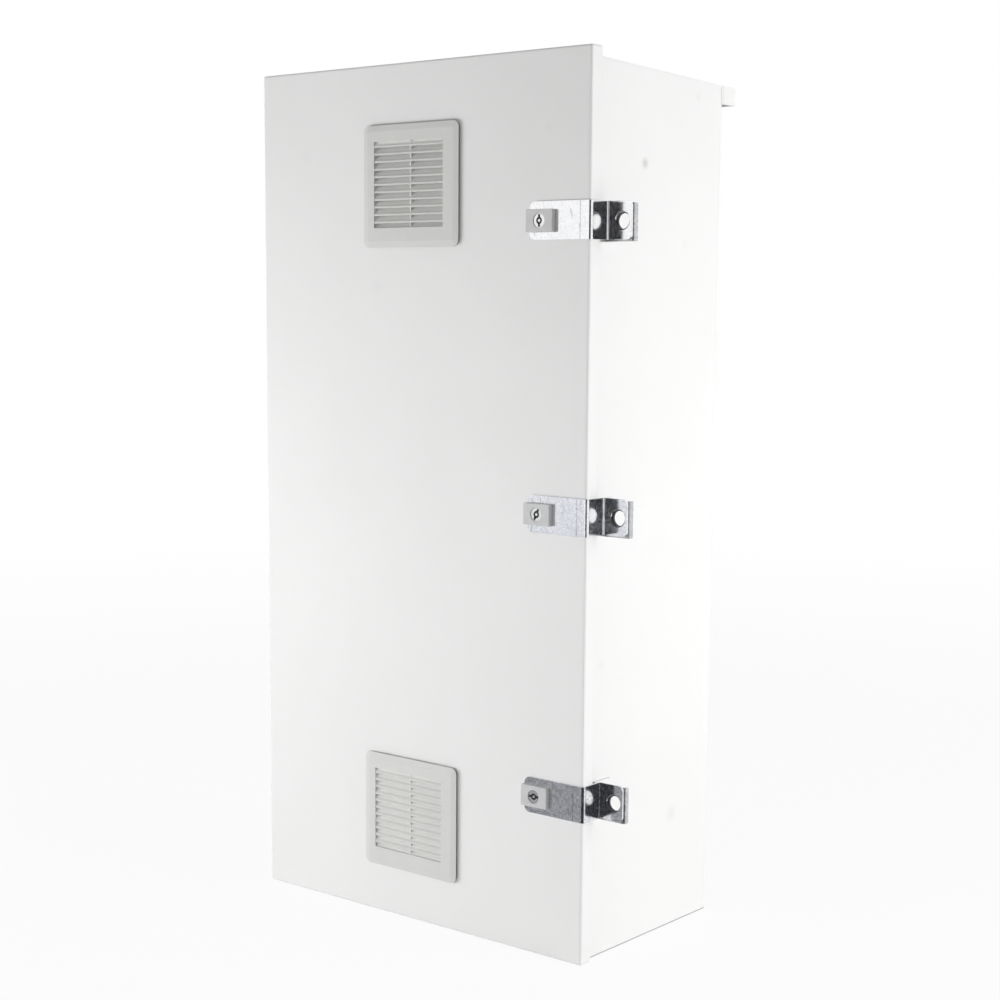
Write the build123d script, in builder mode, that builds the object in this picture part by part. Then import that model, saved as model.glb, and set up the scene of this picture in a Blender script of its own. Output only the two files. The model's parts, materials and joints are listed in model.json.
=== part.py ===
"""Roadside utility cabinet in folded, powder-coated steel, with a lid-shaped louvred door.

Millimetres. +Z is up and the door faces -Y. The origin is the centre of the base's underside.
"""

import os
from math import atan, cos, radians, sin

from build123d import *

# Body: sides and back folded from one sheet, with a separate roof and floor
BODY_WIDTH = 480.0
BODY_DEPTH = 250.0
ROOF_FRONT_HEIGHT = 1004.0
ROOF_FALL = 10.0
ROOF_OVERHANG = 26.0
ROOF_NOSE_BOTTOM = 973.0
SHEET = 2.0
BEND = 2.5
RIM_WIDTH = 14.0
RIM_LIP = 12.0
RIM_TOP = 990.0
FLOOR_UPTURN = 16.0

# Door: a folded lid that stands wider than the body
DOOR_WIDTH = 500.0
DOOR_HEIGHT = 1012.0
DOOR_BOTTOM = 1.0
DOOR_RETURN = 18.0
DOOR_GAP = 2.0
DOOR_BEND = 3.0
GASKET_WIDTH = 12.0
GASKET_THICKNESS = 5.7

# Fixings
SCREW_CLEARANCE = 0.25
STUD_CHAMFER = 0.6
SMALL_SCREW_RADIUS = 2.5
SMALL_HEAD_RADIUS = 5.0
SMALL_HEAD_HEIGHT = 2.5
HEAD_ANGLE = 90.0
SMALL_NUT_RADIUS = 4.6
SMALL_NUT_THICKNESS = 4.0
SIDE_SCREW_LENGTH = 12.0

# Hasps and keepers, one pair near the top, one at the middle and one near the bottom
LATCH_HEIGHTS = {"top": 830.0, "middle": 509.0, "bottom": 188.0}
HASP_HEIGHT = 41.5
HASP_SHEET = 2.5
HASP_BEND = 3.0
HASP_END_X = 169.0
HASP_END_CORNER = 8.0
HASP_TIP_X = 283.7
HASP_TIP_CORNER = 5.5
HASP_EAR_BACK = 31.0
HASP_HOLE_RADIUS = 9.5
HASP_CREASE_X = 238.5
HASP_CREASE_WIDTH = 0.8
HASP_CREASE_DEPTH = 0.4
KEEPER_DROP = 2.0
KEEPER_HEIGHT = 41.0
KEEPER_SHEET = 3.0
KEEPER_CORNER = 1.5
KEEPER_TIP_X = 285.0
KEEPER_EAR_FRONT = 31.5
KEEPER_LIP_BACK = 38.5
KEEPER_FLANGE_BACK = 62.0
KEEPER_SCREW_BACK = 49.0
KEEPER_SCREW_SPACING = 24.0
PADLOCK_X = 271.7
PADLOCK_DROP = 1.0
PADLOCK_HOLE_RADIUS = 8.5

# Quarter-turn locks with a rectangular head on the hasp and a cam inside the door
LOCK_X = 186.5
LOCK_HEAD_WIDTH = 36.5
LOCK_HEAD_HEIGHT = 24.5
LOCK_HEAD_THICKNESS = 6.0
LOCK_HEAD_CORNER = 1.5
LOCK_HEAD_EDGE = 0.8
LOCK_BARREL_RADIUS = 11.0
LOCK_BARREL_END = 23.6
LOCK_HOLE_CLEARANCE = 0.3
LOCK_NUT_RADIUS = 15.6
LOCK_NUT_THICKNESS = 5.0
INSERT_RADIUS = 7.75
INSERT_RECESS = 0.8
INSERT_END = 10.0
RUNNING_CLEARANCE = 0.05
END_CLEARANCE = 0.4
SHANK_RADIUS = 5.0
KEY_RING_RADIUS = 3.9
KEY_PIN_RADIUS = 1.6
KEY_DEPTH = 9.0
KEY_BIT_LENGTH = 13.4
KEY_BIT_WIDTH = 2.8
KEY_BIT_DEPTH = 7.0
CAM_FRONT = 24.0
CAM_THICKNESS = 2.5
CAM_WIDTH = 16.0
CAM_REACH = 47.0
CAM_CORNER = 3.0
CAM_SQUARE = 7.0
CAM_SCREW_RADIUS = 2.5
CAM_SCREW_DEPTH = 9.0
CAM_WASHER_RADIUS = 6.5
CAM_WASHER_THICKNESS = 1.0
CAM_HEAD_RADIUS = 4.6
CAM_HEAD_THICKNESS = 3.5
# The cams stand upright, clear of the body's rim. The middle one was left part-turned, and
# the bottom one's keyhole is set a quarter-turn round from its cam.
CAM_TURN = {"top": 0.0, "middle": 25.0, "bottom": 0.0}
KEYHOLE_TURN = {"top": 0.0, "middle": 0.0, "bottom": 90.0}

# Hinges on the left side, with the pin in the step between door and body
HINGE_HEIGHTS = {"top": 868.0, "middle": 507.0, "bottom": 146.0}
HINGE_LENGTH = 70.0
MIDDLE_KNUCKLE = 29.4
KNUCKLE_GAP = 0.3
KNUCKLE_RADIUS = 6.3
HINGE_PIN_RADIUS = 3.5
HINGE_LEAF = 3.0
HINGE_PIN_BACK = 25.5
HINGE_BODY_LEAF_BACK = 60.0
HINGE_DOOR_LEAF_FRONT = 5.5
HINGE_RELIEF = 8.0
HINGE_LEAF_CORNER = 3.0
HINGE_SCREW_BACK = 46.0
HINGE_SCREW_SPACING = 44.0

# Louvred vents in the door
VENT_HEIGHTS = {"top": 874.0, "bottom": 130.0}
VENT_X = -4.9
VENT_WIDTH = 145.0
VENT_HEIGHT = 139.5
VENT_CORNER = 8.0
VENT_STANDOFF = 3.0
VENT_PLATE = 2.4
VENT_BEVEL_WIDTH = 7.0
VENT_BEVEL_DROP = 1.5
LOUVRE_WIDTH = 106.0
LOUVRE_HEIGHT = 98.4
LOUVRE_SHIFT_X = -2.4
LOUVRE_SHIFT_Z = 1.8
LOUVRE_PITCH = 8.64
LOUVRE_COUNT = 12
LOUVRE_FIRST = 6.8
LOUVRE_SET_BACK = 0.5
LOUVRE_LIP = 2.0
LOUVRE_RISE = 9.0
LOUVRE_BACK = 2.6
LOUVRE_WALL = 2.0
LOUVRE_RIB_WIDTH = 2.0
LOUVRE_RIB_FRONT = -3.4
CUTOUT_WIDTH = 122.0
CUTOUT_HEIGHT = 117.0
CUTOUT_CORNER = 2.0
COLLAR_CLEARANCE = 0.5
COLLAR_WALL = 2.0
COLLAR_BACK = 9.0
VENT_BOSS_RADIUS = 2.8
VENT_BOSS_X = 65.5
VENT_BOSS_Z = 53.0
VENT_SCREW_RADIUS = 1.2
VENT_SCREW_DEPTH = 4.4
VENT_SCREW_HEAD_RADIUS = 2.8
VENT_SCREW_HEAD = 1.8
VENT_SEAL_WIDTH = 2.4
VENT_SEAL_INSET = 1.6
FILTER_FRONT = 3.2
FILTER_CLEARANCE = 0.5
GUARD_FLANGE_WIDTH = 8.0
GUARD_FLANGE_THICKNESS = 2.0
GUARD_WALL = 1.5
GUARD_BARS_FRONT = 9.4
GUARD_BARS_BACK = 11.4
GUARD_BAR_WIDTH = 1.8
GUARD_BAR_COUNT = 7

# Inside: a gear plate on welded studs, a gland plate in the floor, and fixing holes
WALL_HOLE_X = 215.0
WALL_HOLE_HEIGHTS = (35.0, 965.0)
WALL_HOLE_RADIUS = 4.5
GEAR_PLATE_WIDTH = 400.0
GEAR_PLATE_HEIGHT = 870.0
GEAR_PLATE_CORNER = 5.0
GEAR_PLATE_SHEET = 2.5
GEAR_PLATE_STANDOFF = 18.0
GEAR_PLATE_MIDDLE = 500.0
GEAR_STUD_SPACING = (370.0, 830.0)
GEAR_STUD_RADIUS = 4.0
GEAR_STUD_LENGTH = 32.0
GEAR_SHOULDER_RADIUS = 7.0
GEAR_WASHER_RADIUS = 8.0
GEAR_WASHER_THICKNESS = 1.6
GEAR_NUT_RADIUS = 7.5
GEAR_NUT_THICKNESS = 6.5
GLAND_Y = 63.0
GLAND_OPENING = (220.0, 70.0)
GLAND_PLATE = (250.0, 100.0)
GLAND_CORNER = 6.0
GLAND_SEAL = 3.0
GLAND_STUD_SPACING = (117.0, 84.0)
GLAND_STUD_LENGTH = 13.0
EARTH_STUD_RADIUS = 4.0
EARTH_STUD_LENGTH = 20.0
BODY_EARTH_PLACE = (60.0, 60.0)
DOOR_EARTH_PLACE = (-200.0, 60.0)

# Places worked out from the sizes above
FRONT = -BODY_DEPTH / 2
BACK = BODY_DEPTH / 2
INNER_BACK = BACK - SHEET
HALF_BODY = BODY_WIDTH / 2
RIM_X = HALF_BODY - RIM_WIDTH
RIM_BOTTOM = RIM_WIDTH - SHEET
ROOF_END = BACK + ROOF_OVERHANG
ROOF_SHEET_UPRIGHT = SHEET / cos(atan(ROOF_FALL / BODY_DEPTH))
DOOR_FACE = FRONT - DOOR_GAP - DOOR_RETURN
DOOR_MIDDLE = DOOR_BOTTOM + DOOR_HEIGHT / 2
HALF_DOOR = DOOR_WIDTH / 2
KEEPER_SCREW_Y = DOOR_FACE + KEEPER_SCREW_BACK
KEEPER_HEIGHTS = {place: height - KEEPER_DROP for place, height in LATCH_HEIGHTS.items()}
HINGE_X = -HALF_DOOR - HINGE_LEAF + KNUCKLE_RADIUS
HINGE_Y = DOOR_FACE + HINGE_PIN_BACK
HINGE_SCREW_Y = DOOR_FACE + HINGE_SCREW_BACK
CAM_BACK = CAM_FRONT + CAM_THICKNESS
BELOW = (Align.CENTER, Align.CENTER, Align.MAX)
ABOVE = (Align.CENTER, Align.CENTER, Align.MIN)


def roof_top(y):
    """Height of the roof's upper face at a place front to back."""
    return ROOF_FRONT_HEIGHT - ROOF_FALL * (y - FRONT) / BODY_DEPTH


def roof_middle(y):
    """Height of the middle of the roof sheet."""
    return roof_top(y) - ROOF_SHEET_UPRIGHT / 2


def roof_under(y):
    """Height of the roof's lower face."""
    return roof_top(y) - ROOF_SHEET_UPRIGHT


def facing(depth, x=0.0, z=0.0, turn=0.0):
    """Plane parallel to the door and looking out of it, `depth` behind the door's face.

    `turn` is in degrees, clockwise as seen from the front.
    """
    across = (cos(radians(turn)), 0, -sin(radians(turn)))
    return Plane(origin=(x, DOOR_FACE + depth, z), x_dir=across, z_dir=(0, -1, 0))


def on_side(x, y, z):
    """Plane on the body's side, looking away from the middle."""
    return Plane(origin=(x, y, z), x_dir=(0, 1, 0), z_dir=(1 if x > 0 else -1, 0, 0))


def save(part, label):
    """Label a finished piece and write it to its own file."""
    part.label = label
    export_step(part, f"parts/{label}.step")


os.makedirs("parts", exist_ok=True)


# Body shell: sides, back and the rim's uprights, folded from one sheet
with BuildPart() as body_shell:
    with BuildSketch():
        with BuildLine():
            FilletPolyline(
                (RIM_X + SHEET / 2, FRONT - RIM_LIP),
                (RIM_X + SHEET / 2, FRONT + SHEET / 2),
                (HALF_BODY - SHEET / 2, FRONT + SHEET / 2),
                (HALF_BODY - SHEET / 2, BACK - SHEET / 2),
                (-HALF_BODY + SHEET / 2, BACK - SHEET / 2),
                (-HALF_BODY + SHEET / 2, FRONT + SHEET / 2),
                (-RIM_X - SHEET / 2, FRONT + SHEET / 2),
                (-RIM_X - SHEET / 2, FRONT - RIM_LIP),
                radius=BEND,
            )
        trace(line_width=SHEET)
    extrude(amount=ROOF_FRONT_HEIGHT)
    # The side and back sheets end under the sloping roof
    with BuildSketch(Plane.YZ):
        with BuildLine():
            Polyline(
                (FRONT - RIM_LIP, roof_under(FRONT - RIM_LIP)),
                (BACK + SHEET, roof_under(BACK + SHEET)),
                (BACK + SHEET, ROOF_FRONT_HEIGHT + SHEET),
                (FRONT - RIM_LIP, ROOF_FRONT_HEIGHT + SHEET),
                close=True,
            )
        make_face()
    extrude(amount=HALF_BODY + SHEET, both=True, mode=Mode.SUBTRACT)
    # The rim's forward lips stop at the corners, where the roof's and the floor's lips meet them
    with BuildSketch(Plane.XZ.offset(-FRONT)):
        with Locations((0, RIM_BOTTOM / 2)):
            Rectangle(BODY_WIDTH, RIM_BOTTOM)
        with Locations((0, (RIM_TOP + ROOF_FRONT_HEIGHT) / 2)):
            Rectangle(BODY_WIDTH, ROOF_FRONT_HEIGHT - RIM_TOP)
    extrude(amount=RIM_LIP, mode=Mode.SUBTRACT)
    # Wall fixing holes in the back
    with BuildSketch(Plane.XZ.offset(-BACK)):
        with Locations((0, sum(WALL_HOLE_HEIGHTS) / 2)):
            with GridLocations(2 * WALL_HOLE_X, WALL_HOLE_HEIGHTS[1] - WALL_HOLE_HEIGHTS[0], 2, 2):
                Circle(WALL_HOLE_RADIUS)
    extrude(amount=SHEET, mode=Mode.SUBTRACT)
    # Screw holes for the keepers on the right side and the hinges on the left
    for height in KEEPER_HEIGHTS.values():
        with Locations(on_side(HALF_BODY, KEEPER_SCREW_Y, height)):
            with GridLocations(1, KEEPER_SCREW_SPACING, 1, 2):
                Hole(SMALL_SCREW_RADIUS + SCREW_CLEARANCE, 2 * SHEET)
    for height in HINGE_HEIGHTS.values():
        with Locations(on_side(-HALF_BODY, HINGE_SCREW_Y, height)):
            with GridLocations(1, HINGE_SCREW_SPACING, 1, 2):
                Hole(SMALL_SCREW_RADIUS + SCREW_CLEARANCE, 2 * SHEET)
save(body_shell.part, "body_shell")


# Roof: one sloping sheet with a front rim and a down-turned rear lip, closed at the nose's ends
with BuildPart() as roof_panel:
    with BuildSketch(Plane.YZ):
        with BuildLine():
            FilletPolyline(
                (FRONT - RIM_LIP, RIM_TOP - SHEET / 2),
                (FRONT + SHEET / 2, RIM_TOP - SHEET / 2),
                (FRONT + SHEET / 2, roof_middle(FRONT + SHEET / 2)),
                (ROOF_END - SHEET / 2, roof_middle(ROOF_END - SHEET / 2)),
                (ROOF_END - SHEET / 2, ROOF_NOSE_BOTTOM),
                radius=BEND,
            )
        trace(line_width=SHEET)
    extrude(amount=RIM_X, both=True)
    with BuildSketch(Plane.YZ):
        with BuildLine():
            FilletPolyline(
                (FRONT, roof_middle(FRONT)),
                (ROOF_END - SHEET / 2, roof_middle(ROOF_END - SHEET / 2)),
                (ROOF_END - SHEET / 2, ROOF_NOSE_BOTTOM),
                radius=BEND,
            )
        trace(line_width=SHEET)
    extrude(amount=HALF_BODY, both=True)
    for side in (-1, 1):
        with BuildSketch(Plane.YZ.offset(side * (HALF_BODY - SHEET / 2))):
            with BuildLine():
                Polyline(
                    (BACK, ROOF_NOSE_BOTTOM),
                    (ROOF_END - SHEET, ROOF_NOSE_BOTTOM),
                    (ROOF_END - SHEET, roof_middle(ROOF_END - SHEET)),
                    (BACK, roof_middle(BACK)),
                    close=True,
                )
            make_face()
        extrude(amount=SHEET / 2, both=True)
save(roof_panel.part, "roof_panel")


# Floor: a folded tray with the rim's lower lip along its front edge
with BuildPart() as floor_panel:
    with BuildSketch(Plane.YZ):
        with BuildLine():
            FilletPolyline(
                (FRONT - RIM_LIP, RIM_BOTTOM + SHEET / 2),
                (FRONT + SHEET / 2, RIM_BOTTOM + SHEET / 2),
                (FRONT + SHEET / 2, SHEET / 2),
                (INNER_BACK - SHEET / 2, SHEET / 2),
                (INNER_BACK - SHEET / 2, FLOOR_UPTURN),
                radius=BEND,
            )
        trace(line_width=SHEET)
    extrude(amount=RIM_X, both=True)
    with BuildSketch(Plane.XZ.offset(-INNER_BACK + SHEET)):
        with BuildLine():
            FilletPolyline(
                (-HALF_BODY + 1.5 * SHEET, FLOOR_UPTURN),
                (-HALF_BODY + 1.5 * SHEET, SHEET / 2),
                (HALF_BODY - 1.5 * SHEET, SHEET / 2),
                (HALF_BODY - 1.5 * SHEET, FLOOR_UPTURN),
                radius=BEND,
            )
        trace(line_width=SHEET)
    extrude(amount=BODY_DEPTH - 4 * SHEET)
    with BuildSketch():
        with Locations((0, GLAND_Y)):
            RectangleRounded(*GLAND_OPENING, GLAND_CORNER)
    extrude(amount=SHEET, mode=Mode.SUBTRACT)
save(floor_panel.part, "floor_panel")


# Blank gland plate and its seal over the floor's cable opening, held by welded studs and nuts
for label, base, thickness in (
    ("gland_seal", SHEET, GLAND_SEAL),
    ("gland_plate", SHEET + GLAND_SEAL, SHEET),
):
    with BuildPart() as gland_layer:
        with BuildSketch(Plane.XY.offset(base)):
            with Locations((0, GLAND_Y)):
                RectangleRounded(*GLAND_PLATE, GLAND_CORNER)
                if label == "gland_seal":
                    RectangleRounded(*GLAND_OPENING, GLAND_CORNER, mode=Mode.SUBTRACT)
                with GridLocations(*GLAND_STUD_SPACING, 3, 2):
                    Circle(SMALL_SCREW_RADIUS + SCREW_CLEARANCE, mode=Mode.SUBTRACT)
        extrude(amount=thickness)
    save(gland_layer.part, label)

with BuildPart() as gland_studs:
    with BuildSketch(Plane.XY.offset(SHEET)):
        with Locations((0, GLAND_Y)):
            with GridLocations(*GLAND_STUD_SPACING, 3, 2):
                Circle(SMALL_SCREW_RADIUS)
    extrude(amount=GLAND_STUD_LENGTH)
    chamfer(gland_studs.edges().group_by(Axis.Z)[-1], STUD_CHAMFER)
save(gland_studs.part, "gland_studs")

with BuildPart() as gland_nuts:
    with BuildSketch(Plane.XY.offset(2 * SHEET + GLAND_SEAL)):
        with Locations((0, GLAND_Y)):
            with GridLocations(*GLAND_STUD_SPACING, 3, 2):
                RegularPolygon(SMALL_NUT_RADIUS, 6)
                Circle(SMALL_SCREW_RADIUS, mode=Mode.SUBTRACT)
    extrude(amount=SMALL_NUT_THICKNESS)
save(gland_nuts.part, "gland_nuts")


# Gear plate on four shouldered studs that are welded to the back
gear_seat = INNER_BACK - GEAR_PLATE_STANDOFF
with BuildPart() as gear_plate:
    with BuildSketch(Plane.XZ.offset(-gear_seat)):
        with Locations((0, GEAR_PLATE_MIDDLE)):
            RectangleRounded(GEAR_PLATE_WIDTH, GEAR_PLATE_HEIGHT, GEAR_PLATE_CORNER)
            with GridLocations(*GEAR_STUD_SPACING, 2, 2):
                Circle(GEAR_STUD_RADIUS + SCREW_CLEARANCE, mode=Mode.SUBTRACT)
    extrude(amount=GEAR_PLATE_SHEET)
save(gear_plate.part, "gear_plate")

with BuildPart() as gear_plate_studs:
    with Locations(Plane.XZ.offset(-INNER_BACK)):
        with Locations((0, GEAR_PLATE_MIDDLE)):
            with GridLocations(*GEAR_STUD_SPACING, 2, 2):
                Cylinder(GEAR_SHOULDER_RADIUS, GEAR_PLATE_STANDOFF, align=ABOVE)
                Cylinder(GEAR_STUD_RADIUS, GEAR_STUD_LENGTH, align=ABOVE)
    chamfer(gear_plate_studs.edges().group_by(Axis.Y)[0], STUD_CHAMFER)
save(gear_plate_studs.part, "gear_plate_studs")

with BuildPart() as gear_plate_nuts:
    nut_seat = -gear_seat + GEAR_PLATE_SHEET
    with BuildSketch(Plane.XZ.offset(nut_seat)):
        with Locations((0, GEAR_PLATE_MIDDLE)):
            with GridLocations(*GEAR_STUD_SPACING, 2, 2):
                Circle(GEAR_WASHER_RADIUS)
                Circle(GEAR_STUD_RADIUS, mode=Mode.SUBTRACT)
    extrude(amount=GEAR_WASHER_THICKNESS)
    with BuildSketch(Plane.XZ.offset(nut_seat + GEAR_WASHER_THICKNESS)):
        with Locations((0, GEAR_PLATE_MIDDLE)):
            with GridLocations(*GEAR_STUD_SPACING, 2, 2):
                RegularPolygon(GEAR_NUT_RADIUS, 6)
                Circle(GEAR_STUD_RADIUS, mode=Mode.SUBTRACT)
    extrude(amount=GEAR_NUT_THICKNESS)
save(gear_plate_nuts.part, "gear_plate_nuts")

with BuildPart() as body_earth_stud:
    with Locations(on_side(HALF_BODY - SHEET, *BODY_EARTH_PLACE)):
        Cylinder(EARTH_STUD_RADIUS, EARTH_STUD_LENGTH, align=BELOW)
    chamfer(body_earth_stud.edges().group_by(Axis.X)[0], STUD_CHAMFER)
save(body_earth_stud.part, "body_earth_stud")


# Keepers: folded plates on the body's right side, each with a lip at its outer edge and a
# padlock hole behind the hasp's hole
keeper_y = DOOR_FACE + KEEPER_EAR_FRONT + KEEPER_SHEET / 2
for place, height in KEEPER_HEIGHTS.items():
    with BuildPart() as keeper:
        with BuildSketch(Plane.XY.offset(height - KEEPER_HEIGHT / 2)):
            with BuildLine():
                FilletPolyline(
                    (HALF_BODY + KEEPER_SHEET / 2, DOOR_FACE + KEEPER_FLANGE_BACK),
                    (HALF_BODY + KEEPER_SHEET / 2, keeper_y),
                    (KEEPER_TIP_X - KEEPER_SHEET / 2, keeper_y),
                    (KEEPER_TIP_X - KEEPER_SHEET / 2, DOOR_FACE + KEEPER_LIP_BACK),
                    radius=BEND,
                )
            trace(line_width=KEEPER_SHEET)
        extrude(amount=KEEPER_HEIGHT)
        fillet(keeper.edges().filter_by(Axis.X).group_by(SortBy.LENGTH)[0], KEEPER_CORNER)
        with Locations(facing(KEEPER_EAR_FRONT, PADLOCK_X, LATCH_HEIGHTS[place] - PADLOCK_DROP)):
            Hole(PADLOCK_HOLE_RADIUS, 2 * KEEPER_SHEET)
        with Locations(on_side(HALF_BODY + KEEPER_SHEET, KEEPER_SCREW_Y, height)):
            with GridLocations(1, KEEPER_SCREW_SPACING, 1, 2):
                CounterSinkHole(
                    SMALL_SCREW_RADIUS + SCREW_CLEARANCE,
                    SMALL_HEAD_RADIUS,
                    2 * KEEPER_SHEET,
                    HEAD_ANGLE,
                )
    save(keeper.part, f"keeper_{place}")


# Countersunk screws and nuts that hold the keepers and the hinges' body leaves to the sides
side_fixings = {
    "keeper": (HALF_BODY, KEEPER_SHEET, KEEPER_SCREW_Y, KEEPER_SCREW_SPACING, KEEPER_HEIGHTS),
    "hinge": (-HALF_BODY, -HINGE_LEAF, HINGE_SCREW_Y, HINGE_SCREW_SPACING, HINGE_HEIGHTS),
}
for owner, (side_x, thickness, y, spacing, heights) in side_fixings.items():
    nut_x = side_x - SHEET if side_x > 0 else side_x + SHEET
    with BuildPart() as screws:
        for height in heights.values():
            with Locations(on_side(side_x + thickness, y, height)):
                with GridLocations(1, spacing, 1, 2):
                    Cone(SMALL_SCREW_RADIUS, SMALL_HEAD_RADIUS, SMALL_HEAD_HEIGHT, align=BELOW)
                    Cylinder(SMALL_SCREW_RADIUS, SIDE_SCREW_LENGTH, align=BELOW)
    save(screws.part, f"{owner}_screws")
    with BuildPart() as nuts:
        with BuildSketch(*[on_side(nut_x, y, height) for height in heights.values()]):
            with GridLocations(1, spacing, 1, 2):
                RegularPolygon(SMALL_NUT_RADIUS, 6)
                Circle(SMALL_SCREW_RADIUS, mode=Mode.SUBTRACT)
        extrude(amount=-SMALL_NUT_THICKNESS)
    save(nuts.part, f"{owner}_nuts")


# Hinges: the body leaf carries the outer knuckles and the pin, the door leaf the middle one
outer_knuckle = (HINGE_LENGTH - MIDDLE_KNUCKLE) / 2 - KNUCKLE_GAP
for place, height in HINGE_HEIGHTS.items():
    foot = height - HINGE_LENGTH / 2
    with BuildPart() as body_leaf:
        with BuildSketch(Plane.XY.offset(foot)):
            with Locations((HINGE_X, HINGE_Y)):
                Circle(KNUCKLE_RADIUS)
            with Locations((-HALF_BODY, HINGE_Y)):
                Rectangle(
                    HINGE_LEAF,
                    HINGE_BODY_LEAF_BACK - HINGE_PIN_BACK,
                    align=(Align.MAX, Align.MIN),
                )
            with Locations((HINGE_X, HINGE_Y)):
                Circle(HINGE_PIN_RADIUS, mode=Mode.SUBTRACT)
        extrude(amount=HINGE_LENGTH)
        # Room for the door leaf's knuckle
        with BuildSketch(Plane.XY.offset(foot + outer_knuckle)):
            with Locations((HINGE_X, HINGE_Y)):
                Rectangle(2 * HINGE_RELIEF, 2 * HINGE_RELIEF)
        extrude(amount=HINGE_LENGTH - 2 * outer_knuckle, mode=Mode.SUBTRACT)
        fillet(body_leaf.edges().filter_by(Axis.X).group_by(Axis.Y)[-1], HINGE_LEAF_CORNER)
        with Locations(on_side(-HALF_BODY - HINGE_LEAF, HINGE_SCREW_Y, height)):
            with GridLocations(1, HINGE_SCREW_SPACING, 1, 2):
                CounterSinkHole(
                    SMALL_SCREW_RADIUS + SCREW_CLEARANCE,
                    SMALL_HEAD_RADIUS,
                    2 * HINGE_LEAF,
                    HEAD_ANGLE,
                )
    save(body_leaf.part, f"hinge_body_leaf_{place}")

    with BuildPart() as hinge_pin:
        with BuildSketch(Plane.XY.offset(foot)):
            with Locations((HINGE_X, HINGE_Y)):
                Circle(HINGE_PIN_RADIUS)
        extrude(amount=HINGE_LENGTH)
        chamfer(hinge_pin.edges().filter_by(GeomType.CIRCLE), STUD_CHAMFER)
    save(hinge_pin.part, f"hinge_pin_{place}")

    with BuildPart() as door_leaf:
        with BuildSketch(Plane.XY.offset(height - MIDDLE_KNUCKLE / 2)):
            with Locations((HINGE_X, HINGE_Y)):
                Circle(KNUCKLE_RADIUS)
            with Locations((-HALF_DOOR, HINGE_Y)):
                Rectangle(HINGE_LEAF, HINGE_PIN_BACK - DOOR_RETURN, align=(Align.MAX, Align.MAX))
            with Locations((HINGE_X, HINGE_Y)):
                Circle(HINGE_PIN_RADIUS + RUNNING_CLEARANCE, mode=Mode.SUBTRACT)
        extrude(amount=MIDDLE_KNUCKLE)
        with BuildSketch(Plane.XY.offset(foot)):
            with Locations((-HALF_DOOR, DOOR_FACE + DOOR_RETURN)):
                Rectangle(
                    HINGE_LEAF,
                    DOOR_RETURN - HINGE_DOOR_LEAF_FRONT,
                    align=(Align.MAX, Align.MAX),
                )
        extrude(amount=HINGE_LENGTH)
        fillet(door_leaf.edges().filter_by(Axis.X).group_by(Axis.Y)[0], HINGE_LEAF_CORNER)
    save(door_leaf.part, f"hinge_door_leaf_{place}")


# Door: a folded lid with welded corners, cut out for the vents and drilled for the locks
with BuildPart() as door_panel:
    with BuildSketch(facing(DOOR_RETURN, 0, DOOR_MIDDLE)):
        Rectangle(DOOR_WIDTH, DOOR_HEIGHT)
    extrude(amount=DOOR_RETURN)
    fillet(door_panel.edges().filter_by(Axis.Y), DOOR_BEND)
    fillet(door_panel.faces().sort_by(Axis.Y)[0].edges(), DOOR_BEND)
    offset(amount=-SHEET, openings=door_panel.faces().sort_by(Axis.Y)[-1])
    with BuildSketch(facing(SHEET)):
        with Locations(*[(VENT_X, height) for height in VENT_HEIGHTS.values()]):
            RectangleRounded(CUTOUT_WIDTH, CUTOUT_HEIGHT, CUTOUT_CORNER)
            with GridLocations(2 * VENT_BOSS_X, 2 * VENT_BOSS_Z, 2, 2):
                Circle(VENT_SCREW_RADIUS + SCREW_CLEARANCE)
        with Locations(*[(LOCK_X, height) for height in LATCH_HEIGHTS.values()]):
            Circle(LOCK_BARREL_RADIUS + LOCK_HOLE_CLEARANCE)
    extrude(amount=SHEET, mode=Mode.SUBTRACT)
save(door_panel.part, "door_panel")

with BuildPart() as door_gasket:
    with BuildSketch(facing(SHEET + GASKET_THICKNESS, 0, (RIM_TOP + RIM_BOTTOM) / 2)):
        RectangleRounded(
            2 * RIM_X + SHEET + GASKET_WIDTH,
            RIM_TOP - RIM_BOTTOM - SHEET + GASKET_WIDTH,
            GASKET_WIDTH / 2,
        )
        Rectangle(
            2 * RIM_X + SHEET - GASKET_WIDTH,
            RIM_TOP - RIM_BOTTOM - SHEET - GASKET_WIDTH,
            mode=Mode.SUBTRACT,
        )
    extrude(amount=GASKET_THICKNESS)
save(door_gasket.part, "door_gasket")

with BuildPart() as door_earth_stud:
    with Locations(facing(SHEET, *DOOR_EARTH_PLACE)):
        Cylinder(EARTH_STUD_RADIUS, EARTH_STUD_LENGTH, align=BELOW)
    chamfer(door_earth_stud.edges().group_by(Axis.Y)[-1], STUD_CHAMFER)
save(door_earth_stud.part, "door_earth_stud")


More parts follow.
